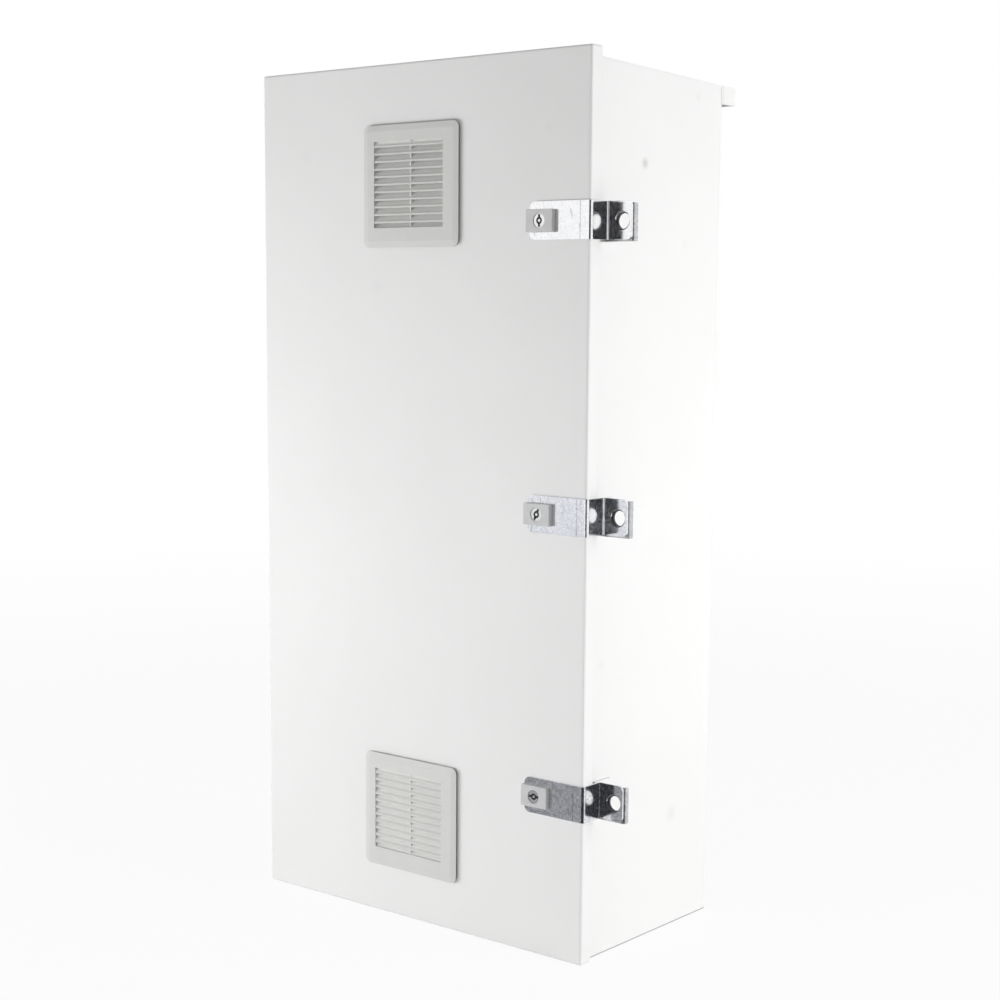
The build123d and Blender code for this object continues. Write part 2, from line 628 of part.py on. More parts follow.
# Hasps: zinc-plated straps under the lock heads, wrapped round the door's edge to an ear
for place, height in LATCH_HEIGHTS.items():
    with BuildPart() as hasp:
        with BuildSketch(Plane.XY.offset(height - HASP_HEIGHT / 2)):
            with BuildLine():
                FilletPolyline(
                    (HASP_END_X, DOOR_FACE - HASP_SHEET / 2),
                    (HALF_DOOR + HASP_SHEET / 2, DOOR_FACE - HASP_SHEET / 2),
                    (HALF_DOOR + HASP_SHEET / 2, DOOR_FACE + HASP_EAR_BACK - HASP_SHEET / 2),
                    (HASP_TIP_X, DOOR_FACE + HASP_EAR_BACK - HASP_SHEET / 2),
                    radius=HASP_BEND,
                )
            trace(line_width=HASP_SHEET)
        extrude(amount=HASP_HEIGHT)
        fillet(hasp.faces().sort_by(Axis.X)[0].edges().filter_by(Axis.Y), HASP_END_CORNER)
        fillet(hasp.faces().sort_by(Axis.X)[-1].edges().filter_by(Axis.Y), HASP_TIP_CORNER)
        with Locations(facing(HASP_EAR_BACK - HASP_SHEET, PADLOCK_X, height)):
            Hole(HASP_HOLE_RADIUS, 2 * HASP_SHEET)
        with Locations(facing(-HASP_SHEET, LOCK_X, height)):
            Hole(LOCK_BARREL_RADIUS + LOCK_HOLE_CLEARANCE, HASP_SHEET)
        # Crease pressed across the strap just before it turns round the door's edge
        with BuildSketch(facing(HASP_CREASE_DEPTH - HASP_SHEET, HASP_CREASE_X, height)):
            Rectangle(HASP_CREASE_WIDTH, HASP_HEIGHT)
        extrude(amount=HASP_CREASE_DEPTH, mode=Mode.SUBTRACT)
    save(hasp.part, f"hasp_{place}")


# Lock housings, their nuts, and the rotors with cams and cam screws that turn in them
for place, height in LATCH_HEIGHTS.items():
    cam_turn = CAM_TURN[place]
    key_turn = cam_turn + KEYHOLE_TURN[place]
    with BuildPart() as lock_housing:
        with BuildSketch(facing(-HASP_SHEET, LOCK_X, height)):
            RectangleRounded(LOCK_HEAD_WIDTH, LOCK_HEAD_HEIGHT, LOCK_HEAD_CORNER)
        extrude(amount=LOCK_HEAD_THICKNESS)
        fillet(lock_housing.faces().sort_by(Axis.Y)[0].edges(), LOCK_HEAD_EDGE)
        with Locations(facing(LOCK_BARREL_END, LOCK_X, height)):
            Cylinder(LOCK_BARREL_RADIUS, LOCK_BARREL_END + HASP_SHEET, align=ABOVE)
        with Locations(facing(INSERT_END + END_CLEARANCE, LOCK_X, height)):
            Cylinder(
                INSERT_RADIUS + RUNNING_CLEARANCE,
                INSERT_END + END_CLEARANCE + HASP_SHEET + LOCK_HEAD_THICKNESS,
                align=ABOVE,
                mode=Mode.SUBTRACT,
            )
        with Locations(facing(LOCK_BARREL_END, LOCK_X, height)):
            Cylinder(
                SHANK_RADIUS + RUNNING_CLEARANCE,
                LOCK_BARREL_END,
                align=ABOVE,
                mode=Mode.SUBTRACT,
            )
    save(lock_housing.part, f"lock_housing_{place}")

    with BuildPart() as lock_nut:
        with BuildSketch(facing(SHEET + LOCK_NUT_THICKNESS, LOCK_X, height)):
            RegularPolygon(LOCK_NUT_RADIUS, 6)
            Circle(LOCK_BARREL_RADIUS, mode=Mode.SUBTRACT)
        extrude(amount=LOCK_NUT_THICKNESS)
    save(lock_nut.part, f"lock_nut_{place}")

    key_face = INSERT_RECESS - HASP_SHEET - LOCK_HEAD_THICKNESS
    with BuildPart() as lock_rotor:
        with Locations(facing(INSERT_END, LOCK_X, height)):
            Cylinder(INSERT_RADIUS, INSERT_END - key_face, align=ABOVE)
        with Locations(facing(CAM_FRONT, LOCK_X, height)):
            Cylinder(SHANK_RADIUS, CAM_FRONT - INSERT_END, align=ABOVE)
        with BuildSketch(facing(CAM_BACK, LOCK_X, height, cam_turn)):
            Rectangle(CAM_SQUARE, CAM_SQUARE)
        extrude(amount=CAM_THICKNESS)
        # Keyhole: a ring round a pin, with a slot across for the key's two bits
        with BuildSketch(facing(key_face, LOCK_X, height)):
            Circle(KEY_RING_RADIUS)
            Circle(KEY_PIN_RADIUS, mode=Mode.SUBTRACT)
        extrude(amount=-KEY_DEPTH, mode=Mode.SUBTRACT)
        with BuildSketch(facing(key_face, LOCK_X, height, key_turn)):
            Rectangle(KEY_BIT_WIDTH, KEY_BIT_LENGTH)
            Circle(KEY_RING_RADIUS, mode=Mode.SUBTRACT)
        extrude(amount=-KEY_BIT_DEPTH, mode=Mode.SUBTRACT)
        with Locations(facing(CAM_BACK, LOCK_X, height)):
            Cylinder(CAM_SCREW_RADIUS, CAM_SCREW_DEPTH, align=ABOVE, mode=Mode.SUBTRACT)
    save(lock_rotor.part, f"lock_rotor_{place}")

    with BuildPart() as lock_cam:
        with BuildSketch(facing(CAM_BACK, LOCK_X, height, cam_turn)) as cam_outline:
            Rectangle(CAM_WIDTH, CAM_REACH, align=(Align.CENTER, Align.MIN))
            fillet(cam_outline.vertices().group_by(Axis.Y)[-1], CAM_CORNER)
            Circle(CAM_WIDTH / 2)
            Rectangle(
                CAM_SQUARE + 2 * RUNNING_CLEARANCE,
                CAM_SQUARE + 2 * RUNNING_CLEARANCE,
                mode=Mode.SUBTRACT,
            )
        extrude(amount=CAM_THICKNESS)
    save(lock_cam.part, f"lock_cam_{place}")

    with BuildPart() as cam_screw:
        with Locations(facing(CAM_BACK, LOCK_X, height)):
            Cylinder(CAM_WASHER_RADIUS, CAM_WASHER_THICKNESS, align=BELOW)
            Cylinder(CAM_SCREW_RADIUS, CAM_SCREW_DEPTH, align=ABOVE)
        with BuildSketch(facing(CAM_BACK + CAM_WASHER_THICKNESS, LOCK_X, height)):
            RegularPolygon(CAM_HEAD_RADIUS, 6)
        extrude(amount=-CAM_HEAD_THICKNESS)
    save(cam_screw.part, f"cam_screw_{place}")


# Vents: a louvred cover outside the door, with a filter mat and a guard behind it
cover_back = -VENT_STANDOFF
cover_front = cover_back - VENT_PLATE
seal_width = VENT_WIDTH - 2 * VENT_SEAL_INSET
seal_height = VENT_HEIGHT - 2 * VENT_SEAL_INSET
seal_corner = VENT_CORNER - VENT_SEAL_INSET
collar_width = CUTOUT_WIDTH - 2 * COLLAR_CLEARANCE
collar_height = CUTOUT_HEIGHT - 2 * COLLAR_CLEARANCE
mat_inset = COLLAR_WALL + FILTER_CLEARANCE
guard_width = CUTOUT_WIDTH + 2 * GUARD_WALL
guard_height = CUTOUT_HEIGHT + 2 * GUARD_WALL
for place, height in VENT_HEIGHTS.items():
    louvre_x = VENT_X + LOUVRE_SHIFT_X
    louvre_z = height + LOUVRE_SHIFT_Z
    with BuildPart() as vent_cover:
        with BuildSketch(facing(cover_back, VENT_X, height)):
            RectangleRounded(VENT_WIDTH, VENT_HEIGHT, VENT_CORNER)
        extrude(amount=VENT_PLATE)
        cover_face = vent_cover.faces().sort_by(Axis.Y)[0]
        chamfer(cover_face.edges(), VENT_BEVEL_WIDTH, VENT_BEVEL_DROP, reference=cover_face)
        # Collar through the door's cut-out, and the four bosses that stand on the door
        with BuildSketch(facing(COLLAR_BACK, VENT_X, height)):
            RectangleRounded(collar_width, collar_height, CUTOUT_CORNER)
            Rectangle(
                collar_width - 2 * COLLAR_WALL,
                collar_height - 2 * COLLAR_WALL,
                mode=Mode.SUBTRACT,
            )
        extrude(amount=COLLAR_BACK + VENT_STANDOFF)
        with BuildSketch(facing(0, VENT_X, height)):
            with GridLocations(2 * VENT_BOSS_X, 2 * VENT_BOSS_Z, 2, 2):
                Circle(VENT_BOSS_RADIUS)
        extrude(amount=VENT_STANDOFF)
        with BuildSketch(facing(0, VENT_X, height)):
            with GridLocations(2 * VENT_BOSS_X, 2 * VENT_BOSS_Z, 2, 2):
                Circle(VENT_SCREW_RADIUS)
        extrude(amount=VENT_SCREW_DEPTH, mode=Mode.SUBTRACT)
        # Walls round the louvre opening, then the opening itself
        with BuildSketch(facing(LOUVRE_BACK, louvre_x, louvre_z)):
            Rectangle(LOUVRE_WIDTH + 2 * LOUVRE_WALL, LOUVRE_HEIGHT + 2 * LOUVRE_WALL)
        extrude(amount=LOUVRE_BACK + VENT_STANDOFF)
        with BuildSketch(facing(LOUVRE_BACK, louvre_x, louvre_z)):
            Rectangle(LOUVRE_WIDTH, LOUVRE_HEIGHT)
        extrude(amount=LOUVRE_BACK - cover_front, mode=Mode.SUBTRACT)
        # Blades that rise inwards from a thin lip, so that rain runs off them
        blade_front = DOOR_FACE + cover_front + LOUVRE_SET_BACK
        blade_back = DOOR_FACE + LOUVRE_BACK
        first_lip = louvre_z + LOUVRE_HEIGHT / 2 - LOUVRE_FIRST
        with BuildSketch(Plane.YZ.offset(louvre_x)):
            for number in range(LOUVRE_COUNT):
                lip = first_lip - number * LOUVRE_PITCH
                with BuildLine():
                    Polyline(
                        (blade_front, lip),
                        (blade_front, lip + LOUVRE_LIP),
                        (blade_back, lip + LOUVRE_LIP + LOUVRE_RISE),
                        (blade_back, lip + LOUVRE_RISE),
                        close=True,
                    )
                make_face()
            # The top blade and the sill end at the opening's walls
            with Locations(((blade_front + blade_back) / 2, louvre_z)):
                Rectangle(blade_back - blade_front, LOUVRE_HEIGHT, mode=Mode.INTERSECT)
        extrude(amount=LOUVRE_WIDTH / 2, both=True)
        # Upright rib behind the lips
        with BuildSketch(facing(LOUVRE_BACK, VENT_X, louvre_z)):
            Rectangle(LOUVRE_RIB_WIDTH, LOUVRE_HEIGHT)
        extrude(amount=LOUVRE_BACK - LOUVRE_RIB_FRONT)
    save(vent_cover.part, f"vent_cover_{place}")

    with BuildPart() as vent_seal:
        with BuildSketch(facing(0, VENT_X, height)):
            RectangleRounded(seal_width, seal_height, seal_corner)
            offset(amount=-VENT_SEAL_WIDTH, mode=Mode.SUBTRACT)
        extrude(amount=VENT_STANDOFF)
    save(vent_seal.part, f"vent_seal_{place}")

    with BuildPart() as filter_mat:
        with BuildSketch(facing(COLLAR_BACK, VENT_X, height)):
            Rectangle(collar_width - 2 * mat_inset, collar_height - 2 * mat_inset)
        extrude(amount=COLLAR_BACK - FILTER_FRONT)
    save(filter_mat.part, f"filter_mat_{place}")

    with BuildPart() as vent_guard:
        with BuildSketch(facing(SHEET + GUARD_FLANGE_THICKNESS, VENT_X, height)):
            Rectangle(guard_width + 2 * GUARD_FLANGE_WIDTH, guard_height + 2 * GUARD_FLANGE_WIDTH)
            with GridLocations(2 * VENT_BOSS_X, 2 * VENT_BOSS_Z, 2, 2):
                Circle(VENT_SCREW_RADIUS + SCREW_CLEARANCE, mode=Mode.SUBTRACT)
        extrude(amount=GUARD_FLANGE_THICKNESS)
        with BuildSketch(facing(GUARD_BARS_BACK, VENT_X, height)):
            Rectangle(guard_width, guard_height)
        extrude(amount=GUARD_BARS_BACK - SHEET)
        with BuildSketch(facing(GUARD_BARS_FRONT, VENT_X, height)):
            Rectangle(CUTOUT_WIDTH, CUTOUT_HEIGHT)
        extrude(amount=GUARD_BARS_FRONT - SHEET, mode=Mode.SUBTRACT)
        with BuildSketch(facing(GUARD_BARS_BACK, VENT_X, height)):
            with GridLocations(
                (CUTOUT_WIDTH + GUARD_BAR_WIDTH) / GUARD_BAR_COUNT,
                (CUTOUT_HEIGHT + GUARD_BAR_WIDTH) / GUARD_BAR_COUNT,
                GUARD_BAR_COUNT,
                GUARD_BAR_COUNT,
            ):
                Rectangle(
                    (CUTOUT_WIDTH + GUARD_BAR_WIDTH) / GUARD_BAR_COUNT - GUARD_BAR_WIDTH,
                    (CUTOUT_HEIGHT + GUARD_BAR_WIDTH) / GUARD_BAR_COUNT - GUARD_BAR_WIDTH,
                )
        extrude(amount=GUARD_BARS_BACK - GUARD_BARS_FRONT, mode=Mode.SUBTRACT)
    save(vent_guard.part, f"vent_guard_{place}")

with BuildPart() as vent_screws:
    screw_seat = SHEET + GUARD_FLANGE_THICKNESS
    for height in VENT_HEIGHTS.values():
        with Locations(facing(screw_seat, VENT_X, height)):
            with GridLocations(2 * VENT_BOSS_X, 2 * VENT_BOSS_Z, 2, 2):
                Cylinder(VENT_SCREW_HEAD_RADIUS, VENT_SCREW_HEAD, align=BELOW)
                Cylinder(VENT_SCREW_RADIUS, screw_seat + VENT_SCREW_DEPTH, align=ABOVE)
save(vent_screws.part, "vent_screws")
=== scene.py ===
"""Looks of the roadside utility cabinet: its finishes, soft trim, fixings, studio and camera."""

from __future__ import annotations

import json
import logging
import math
from dataclasses import dataclass
from enum import Enum
from typing import Iterable, Optional, Union

import bmesh
import bpy
from bmesh.types import BMEdge, BMesh, BMVert
from bpy.types import ID, Material, Mesh, Node, NodeSocket, Object, World
from mathutils import Euler, Matrix, Vector, noise

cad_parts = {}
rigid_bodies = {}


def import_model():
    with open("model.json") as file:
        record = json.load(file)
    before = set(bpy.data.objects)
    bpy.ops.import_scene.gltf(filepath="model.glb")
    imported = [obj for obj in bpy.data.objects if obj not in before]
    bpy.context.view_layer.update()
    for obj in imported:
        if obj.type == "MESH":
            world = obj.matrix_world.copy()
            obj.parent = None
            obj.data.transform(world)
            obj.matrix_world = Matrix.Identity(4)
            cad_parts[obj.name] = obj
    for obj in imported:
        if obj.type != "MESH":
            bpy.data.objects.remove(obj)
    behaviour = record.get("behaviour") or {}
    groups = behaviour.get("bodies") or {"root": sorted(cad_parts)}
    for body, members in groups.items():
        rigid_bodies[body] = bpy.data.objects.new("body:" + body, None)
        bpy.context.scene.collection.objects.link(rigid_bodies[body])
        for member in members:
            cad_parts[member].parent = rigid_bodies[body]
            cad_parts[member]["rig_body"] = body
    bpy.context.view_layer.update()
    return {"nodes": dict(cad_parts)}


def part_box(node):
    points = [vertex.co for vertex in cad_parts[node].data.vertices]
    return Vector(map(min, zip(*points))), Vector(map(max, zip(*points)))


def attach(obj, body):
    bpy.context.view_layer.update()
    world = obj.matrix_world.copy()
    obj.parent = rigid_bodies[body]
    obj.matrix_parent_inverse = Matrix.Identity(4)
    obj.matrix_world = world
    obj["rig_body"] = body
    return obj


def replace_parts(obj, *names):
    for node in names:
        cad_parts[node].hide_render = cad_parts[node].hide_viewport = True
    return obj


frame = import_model()
SLOTS = {name: node.data.materials[0].name for name, node in frame["nodes"].items()}

Colour = tuple[float, float, float]
Place = tuple[float, float, float]
Pair = tuple[float, float]
Feed = Union[float, Colour, NodeSocket, None]

LOG = logging.getLogger("cabinet")
MM = 0.001
MERGE = 0.000002
WELD = 5 * MERGE
COAT: Colour = (0.850, 0.850, 0.845)
WHITE: Colour = (1.0, 1.0, 1.0)


class Level(Enum):
    """The three heights at which the latches and hinges repeat."""

    TOP = "top"
    MIDDLE = "middle"
    BOTTOM = "bottom"


class Way(Enum):
    """Direction that a fixing points in."""

    RIGHT = (1.0, 0.0, 0.0)
    LEFT = (-1.0, 0.0, 0.0)
    BACK = (0.0, 1.0, 0.0)
    FRONT = (0.0, -1.0, 0.0)
    UP = (0.0, 0.0, 1.0)

    @property
    def vector(self) -> Vector:
        """Return the direction as a vector."""
        return Vector(self.value)


class Tree:
    """Node tree of a material or a world, written node by node."""

    def __init__(self, owner: Union[Material, World]) -> None:
        """Empty the tree.

        Args:
            owner: Material or world that the tree belongs to.
        """
        owner.use_nodes = True
        self.tree = owner.node_tree
        self.tree.nodes.clear()

    def feed(self, socket: NodeSocket, value: Feed) -> None:
        """Give a socket a link, a colour or a number.

        Args:
            socket: Input to fill.
            value: Another node's output, the constant to set, or None to leave it as it is.
        """
        if isinstance(value, NodeSocket):
            self.tree.links.new(value, socket)
        elif isinstance(value, tuple) and socket.type == "RGBA":
            socket.default_value = (*value, 1.0)
        elif value is not None:
            socket.default_value = value

    def add(self, kind: str, feeds: dict[Union[str, int], Feed], **settings: object) -> Node:
        """Add a node.

        Args:
            kind: Node type, without its ShaderNode prefix.
            feeds: What goes into its inputs, by name or number.
            **settings: The node's own properties.

        Returns:
            The new node.
        """
        node = self.tree.nodes.new(f"ShaderNode{kind}")
        for setting, value in settings.items():
            setattr(node, setting, value)
        for key, value in feeds.items():
            self.feed(node.inputs[key], value)
        return node

    def place(self) -> NodeSocket:
        """Return the point on the piece, in metres from the cabinet's origin."""
        return self.add("TexCoord", {}).outputs["Object"]

    def ramp(self, value: Feed, low: float, high: float, start: float, end: float) -> NodeSocket:
        """Map a value from one range to another, smoothly and without going past either end."""
        feeds = {"Value": value, "From Min": low, "From Max": high, "To Min": start, "To Max": end}
        return self.add("MapRange", feeds, interpolation_type="SMOOTHSTEP").outputs["Result"]

    def maths(self, operation: str, first: Feed, second: Feed) -> NodeSocket:
        """Return the result of a calculation on two numbers."""
        return self.add("Math", {0: first, 1: second}, operation=operation).outputs[0]


@dataclass(frozen=True)
class Grain:
    """A fractal pattern: lumps to the metre, octaves, height in metres, range in use and dimming."""

    scale: float
    detail: float
    depth: float = 0.0
    low: float = 0.3
    high: float = 0.7
    dim: float = 1.0


class Graph(Tree):
    """Surface of one material, with a principled shader."""

    MIX_FIRST = 6
    MIX_SECOND = 7
    MIX_RESULT = 2
    EDGE_SAMPLES = 6
    RECESS_SAMPLES = 8
    RECESS_DEEP = 0.30
    RECESS_OPEN = 0.72

    def __init__(self, name: str) -> None:
        """Start a surface with nothing but its shader.

        Args:
            name: Name of the material.
        """
        self.material = bpy.data.materials.new(name)
        super().__init__(self.material)
        self.shader = self.add("BsdfPrincipled", {})
        self.add("OutputMaterial", {"Surface": self.shader.outputs["BSDF"]})

    def stretched(self, scale: Place, turn: Place = (0.0, 0.0, 0.0)) -> NodeSocket:
        """Return the point on the piece, turned by degrees and then scaled along each axis."""
        turned = self.add("Mapping", {"Vector": self.place(), "Rotation": tuple(map(math.radians, turn))})
        return self.add("Mapping", {"Vector": turned.outputs["Vector"], "Scale": scale}).outputs["Vector"]

    def along(self, axis: str) -> NodeSocket:
        """Return the point's distance from the cabinet's origin along X, Y or Z."""
        return self.add("SeparateXYZ", {"Vector": self.place()}).outputs[axis]

    def apart(self, first: Feed, second: Feed) -> NodeSocket:
        """Return the distance between two points."""
        return self.add("VectorMath", {0: first, 1: second}, operation="DISTANCE").outputs["Value"]

    def noise(self, grain: Grain, at: Feed = None, output: str = "Fac") -> NodeSocket:
        """Return fractal noise between 0 and 1, at the given coordinates or else the plain place."""
        feeds = {"Vector": at or self.place(), "Scale": grain.scale, "Detail": grain.detail}
        return self.add("TexNoise", feeds).outputs[output]

    def ragged(self, grain: Grain) -> NodeSocket:
        """Return the point on the piece, pushed about by a noise as far as its depth."""
        feeds = {0: self.noise(grain, output="Color"), 1: (grain.depth,) * 3, 2: self.place()}
        return self.add("VectorMath", feeds, operation="MULTIPLY_ADD").outputs["Vector"]

    def cells(self, scale: float, at: Feed = None) -> NodeSocket:
        """Return a value between 0 and 1 that is even inside each crystal-like cell."""
        voronoi = self.add("TexVoronoi", {"Vector": at or self.place(), "Scale": scale})
        return self.add("SeparateColor", {"Color": voronoi.outputs["Color"]}).outputs[0]

    def mix(self, share: Feed, first: Feed, second: Feed) -> NodeSocket:
        """Return a colour between two colours: the first at a share of 0, the second at 1."""
        feeds = {0: share, self.MIX_FIRST: first, self.MIX_SECOND: second}
        return self.add("Mix", feeds, data_type="RGBA").outputs[self.MIX_RESULT]

    def patchy(self, colour: Colour, grain: Grain, pattern: Feed = None) -> NodeSocket:
        """Return a colour that dims where a pattern, or else the grain's own noise, is low."""
        share = self.ramp(pattern or self.noise(grain), grain.low, grain.high, 0.0, 1.0)
        return self.mix(share, dimmed(colour, grain.dim), colour)

    def gloss(self, grain: Grain, middle: float, spread: Pair) -> NodeSocket:
        """Return a roughness that follows a noise, from below a middle value to above it."""
        ends = (middle - spread[0], middle + spread[1])
        return self.ramp(self.noise(grain), grain.low, grain.high, *ends)

    def bump(self, height: Feed, depth: float, under: Feed = None) -> NodeSocket:
        """Return a normal that follows a pattern, depth metres high, on another normal if there is one."""
        feeds = {"Height": height, "Distance": depth, "Strength": 1.0, "Normal": under}
        return self.add("Bump", feeds).outputs["Normal"]

    def relief(self, grain: Grain, under: Feed = None) -> NodeSocket:
        """Return a normal with a grain's own lumps, on top of another normal if there is one."""
        return self.bump(self.noise(grain), grain.depth, under)

    def rounded(self, radius: float) -> NodeSocket:
        """Return a normal that softens sharp edges as if they had a small radius, in metres."""
        return self.add("Bevel", {"Radius": radius}, samples=self.EDGE_SAMPLES).outputs["Normal"]

    def recess(self, reach: float) -> NodeSocket:
        """Return a painted-shade mask: 1 deep in slots and corners, 0 in the open, as far as walls shade
        from.
        """
        shaded = self.add("AmbientOcclusion", {"Distance": reach}, samples=self.RECESS_SAMPLES)
        return self.ramp(shaded.outputs["AO"], self.RECESS_DEEP, self.RECESS_OPEN, 1.0, 0.0)

    def dress(self, **sockets: Feed) -> Material:
        """Fill the shader's own sockets.

        Args:
            **sockets: Socket names in lower case with underscores.

        Returns:
            The finished material.
        """
        names = {socket.name.lower().replace(" ", "_"): socket for socket in self.shader.inputs}
        for name, value in sockets.items():
            self.feed(names[name], value)
        return self.material


def dimmed(colour: Colour, share: float) -> Colour:
    """Return a colour with each part multiplied by a share."""
    return tuple(part * share for part in colour)


@dataclass(frozen=True)
class Mark:
    """A soft grey mark on the paint."""

    place: Place
    radius: float
    depth: float


@dataclass(frozen=True)
class PowderCoat:
    """Pale satin polyester coat over folded steel, with a slight orange peel."""

    name: str
    roughness: float = 0.44
    spread: Pair = (0.04, 0.05)
    clouds: Grain = Grain(5.0, 4.0, low=0.35, high=0.65, dim=0.985)
    sheen: Grain = Grain(14.0, 3.0)
    peel: Grain = Grain(430.0, 1.5, 0.00005)
    dust: Grain = Grain(2400.0, 1.0, 0.000012)
    edge: float = 0.0006
    marks: tuple[Mark, ...] = ()
    mark_grey: Colour = (0.10, 0.10, 0.10)
    # Painted shadow: a dark band along the foot, where the casing meets the floor.
    foot: float = 0.0
    foot_fade: float = 0.5 * MM
    foot_shadow_share: float = 0.50
    foot_shadow_grey: Colour = (0.06, 0.06, 0.065)

    def build(self) -> Material:
        """Return the coat's material."""
        graph = Graph(self.name)
        colour = graph.patchy(COAT, self.clouds)
        for mark in self.marks:
            away = graph.apart(graph.place(), mark.place)
            colour = graph.mix(graph.ramp(away, 0.0, mark.radius, mark.depth, 0.0), colour, self.mark_grey)
        # Painted shadow: darken the coat below the foot height, fading out just above it.
        if self.foot:
            share = graph.ramp(graph.along("Z"), self.foot, self.foot + self.foot_fade, self.foot_shadow_share, 0.0)
            colour = graph.mix(share, colour, self.foot_shadow_grey)
        normal = graph.relief(self.dust, graph.relief(self.peel, graph.rounded(self.edge)))
        gloss = graph.gloss(self.sheen, self.roughness, self.spread)
        return graph.dress(base_color=colour, roughness=gloss, specular_ior_level=0.42, normal=normal)


@dataclass(frozen=True)
class ZincPlate:
    """Bright zinc-plated strip: smooth, with faint spangles, upright marks and painted shade on its hole
    walls.
    """

    name: str
    dark: Colour
    light: Colour
    worn: Colour = (0.50, 0.51, 0.54)
    roughness: float = 0.13
    spread: Pair = (0.03, 0.05)
    spangles: float = 430.0
    raggedness: Grain = Grain(240.0, 2.0, 0.006)
    scuffs: Grain = Grain(210.0, 4.0, low=0.60, high=0.70)
    scuff_stretch: Place = (1.0, 1.0, 0.28)
    scuff_lean: Place = (0.0, 6.0, 0.0)
    scuff_share: float = 0.55
    ripple: Grain = Grain(60.0, 2.0, 0.000012)
    edge: float = 0.0004
    hole: Optional[Place] = None
    hole_radius: float = 9.6 * MM
    hole_fade: float = 0.05 * MM
    hole_shade: Colour = (0.025, 0.025, 0.030)
    coat_edge: Optional[float] = None
    coat_fade: float = 0.4 * MM
    hole_shade_and_coat_roughness: float = 0.5

    def build(self) -> Material:
        """Return the plating's material."""
        graph = Graph(self.name)
        tone = graph.cells(self.spangles, graph.ragged(self.raggedness))
        colour = graph.mix(tone, self.dark, self.light)
        upright = graph.noise(self.scuffs, graph.stretched(self.scuff_stretch, self.scuff_lean))
        scuffed = graph.ramp(upright, self.scuffs.low, self.scuffs.high, 0.0, self.scuff_share)
        colour = graph.mix(scuffed, colour, self.worn)
        hole_shade_and_coat: Feed = 0.0
        # Painted shade: the padlock hole's wall is darkened to near black and made non-metal.
        if self.hole is not None:
            away = graph.apart(graph.stretched((1.0, 0.0, 1.0)), self.hole)
            hole_shade_and_coat = graph.ramp(away, self.hole_radius, self.hole_radius + self.hole_fade, 1.0, 0.0)
            colour = graph.mix(hole_shade_and_coat, colour, self.hole_shade)
        if self.coat_edge is not None:
            coated = graph.ramp(graph.along("X"), self.coat_edge, self.coat_edge + self.coat_fade, 1.0, 0.0)
            colour = graph.mix(coated, colour, COAT)
            hole_shade_and_coat = graph.maths("MAXIMUM", hole_shade_and_coat, coated)
        less, more = self.spread
        gloss = graph.ramp(tone, 0.0, 1.0, self.roughness - less, self.roughness + more)
        rough = graph.maths("MAXIMUM", gloss, graph.maths("MULTIPLY", hole_shade_and_coat, self.hole_shade_and_coat_roughness))
        metal = graph.maths("SUBTRACT", 1.0, hole_shade_and_coat)
        normal = graph.relief(self.ripple, graph.rounded(self.edge))
        return graph.dress(base_color=colour, metallic=metal, roughness=rough, normal=normal)


@dataclass(frozen=True)
class CastZinc:
    """Zinc casting with a fine tumbled grain, and painted shade darkening its recesses."""

    name: str
    colour: Colour = (0.640, 0.640, 0.645)
    roughness: float = 0.50
    spread: Pair = (0.05, 0.07)
    metal: float = 0.12
    edge: float = 0.0004
    grain: Grain = Grain(1500.0, 3.0, 0.00001)
    patches: Grain = Grain(160.0, 3.0, low=0.35, dim=0.95)
    recess_reach: float = 0.003
    recess_shade: Colour = (0.012, 0.012, 0.014)

    def build(self) -> Material:
        """Return the casting's material."""
        graph = Graph(self.name)
        # Painted shade: slots and corners turn near black.
        deep = graph.recess(self.recess_reach)
        colour = graph.mix(deep, graph.patchy(self.colour, self.patches), self.recess_shade)
        rough = graph.gloss(self.grain, self.roughness, self.spread)
        normal = graph.relief(self.grain, graph.rounded(self.edge))
        metal = graph.ramp(deep, 0.0, 1.0, self.metal, 0.0)
        return graph.dress(base_color=colour, metallic=metal, roughness=rough, normal=normal)


@dataclass(frozen=True)
class MouldedPlastic:
    """Grey polymer with a fine spark-eroded grain, and painted shade darkening its front face where asked.
    """

    name: str
    colour: Colour = (0.880, 0.880, 0.860)
    roughness: float = 0.50
    spread: Pair = (0.05, 0.07)
    flow: Grain = Grain(30.0, 3.0, dim=0.97)
    flow_stretch: Place = (1.0, 1.0, 0.3)
    grain: Grain = Grain(1900.0, 2.0, 0.000018)
    edge: float = 0.00035
    face_shade: float = 0.0
    face_y: float = 0.0
    face_shade_grey: Colour = (0.40, 0.40, 0.395)
    face_shade_full: float = 1.3 * MM
    face_shade_gone: float = 3.2 * MM

    def build(self) -> Material:
        """Return the polymer's material."""
        graph = Graph(self.name)
        flow = graph.noise(self.flow, graph.stretched(self.flow_stretch))
        colour = graph.patchy(self.colour, self.flow, flow)
        # Painted shade: the front face is darkened, fading out a few millimetres deeper, so the louvres
        # behind it read lighter.
        if self.face_shade:
            ends = (self.face_y + self.face_shade_full, self.face_y + self.face_shade_gone)
            colour = graph.mix(graph.ramp(graph.along("Y"), *ends, self.face_shade, 0.0), colour, self.face_shade_grey)
        rough = graph.gloss(self.grain, self.roughness, self.spread)
        normal = graph.relief(self.grain, graph.rounded(self.edge))
        return graph.dress(base_color=colour, roughness=rough, specular_ior_level=0.45, normal=normal)


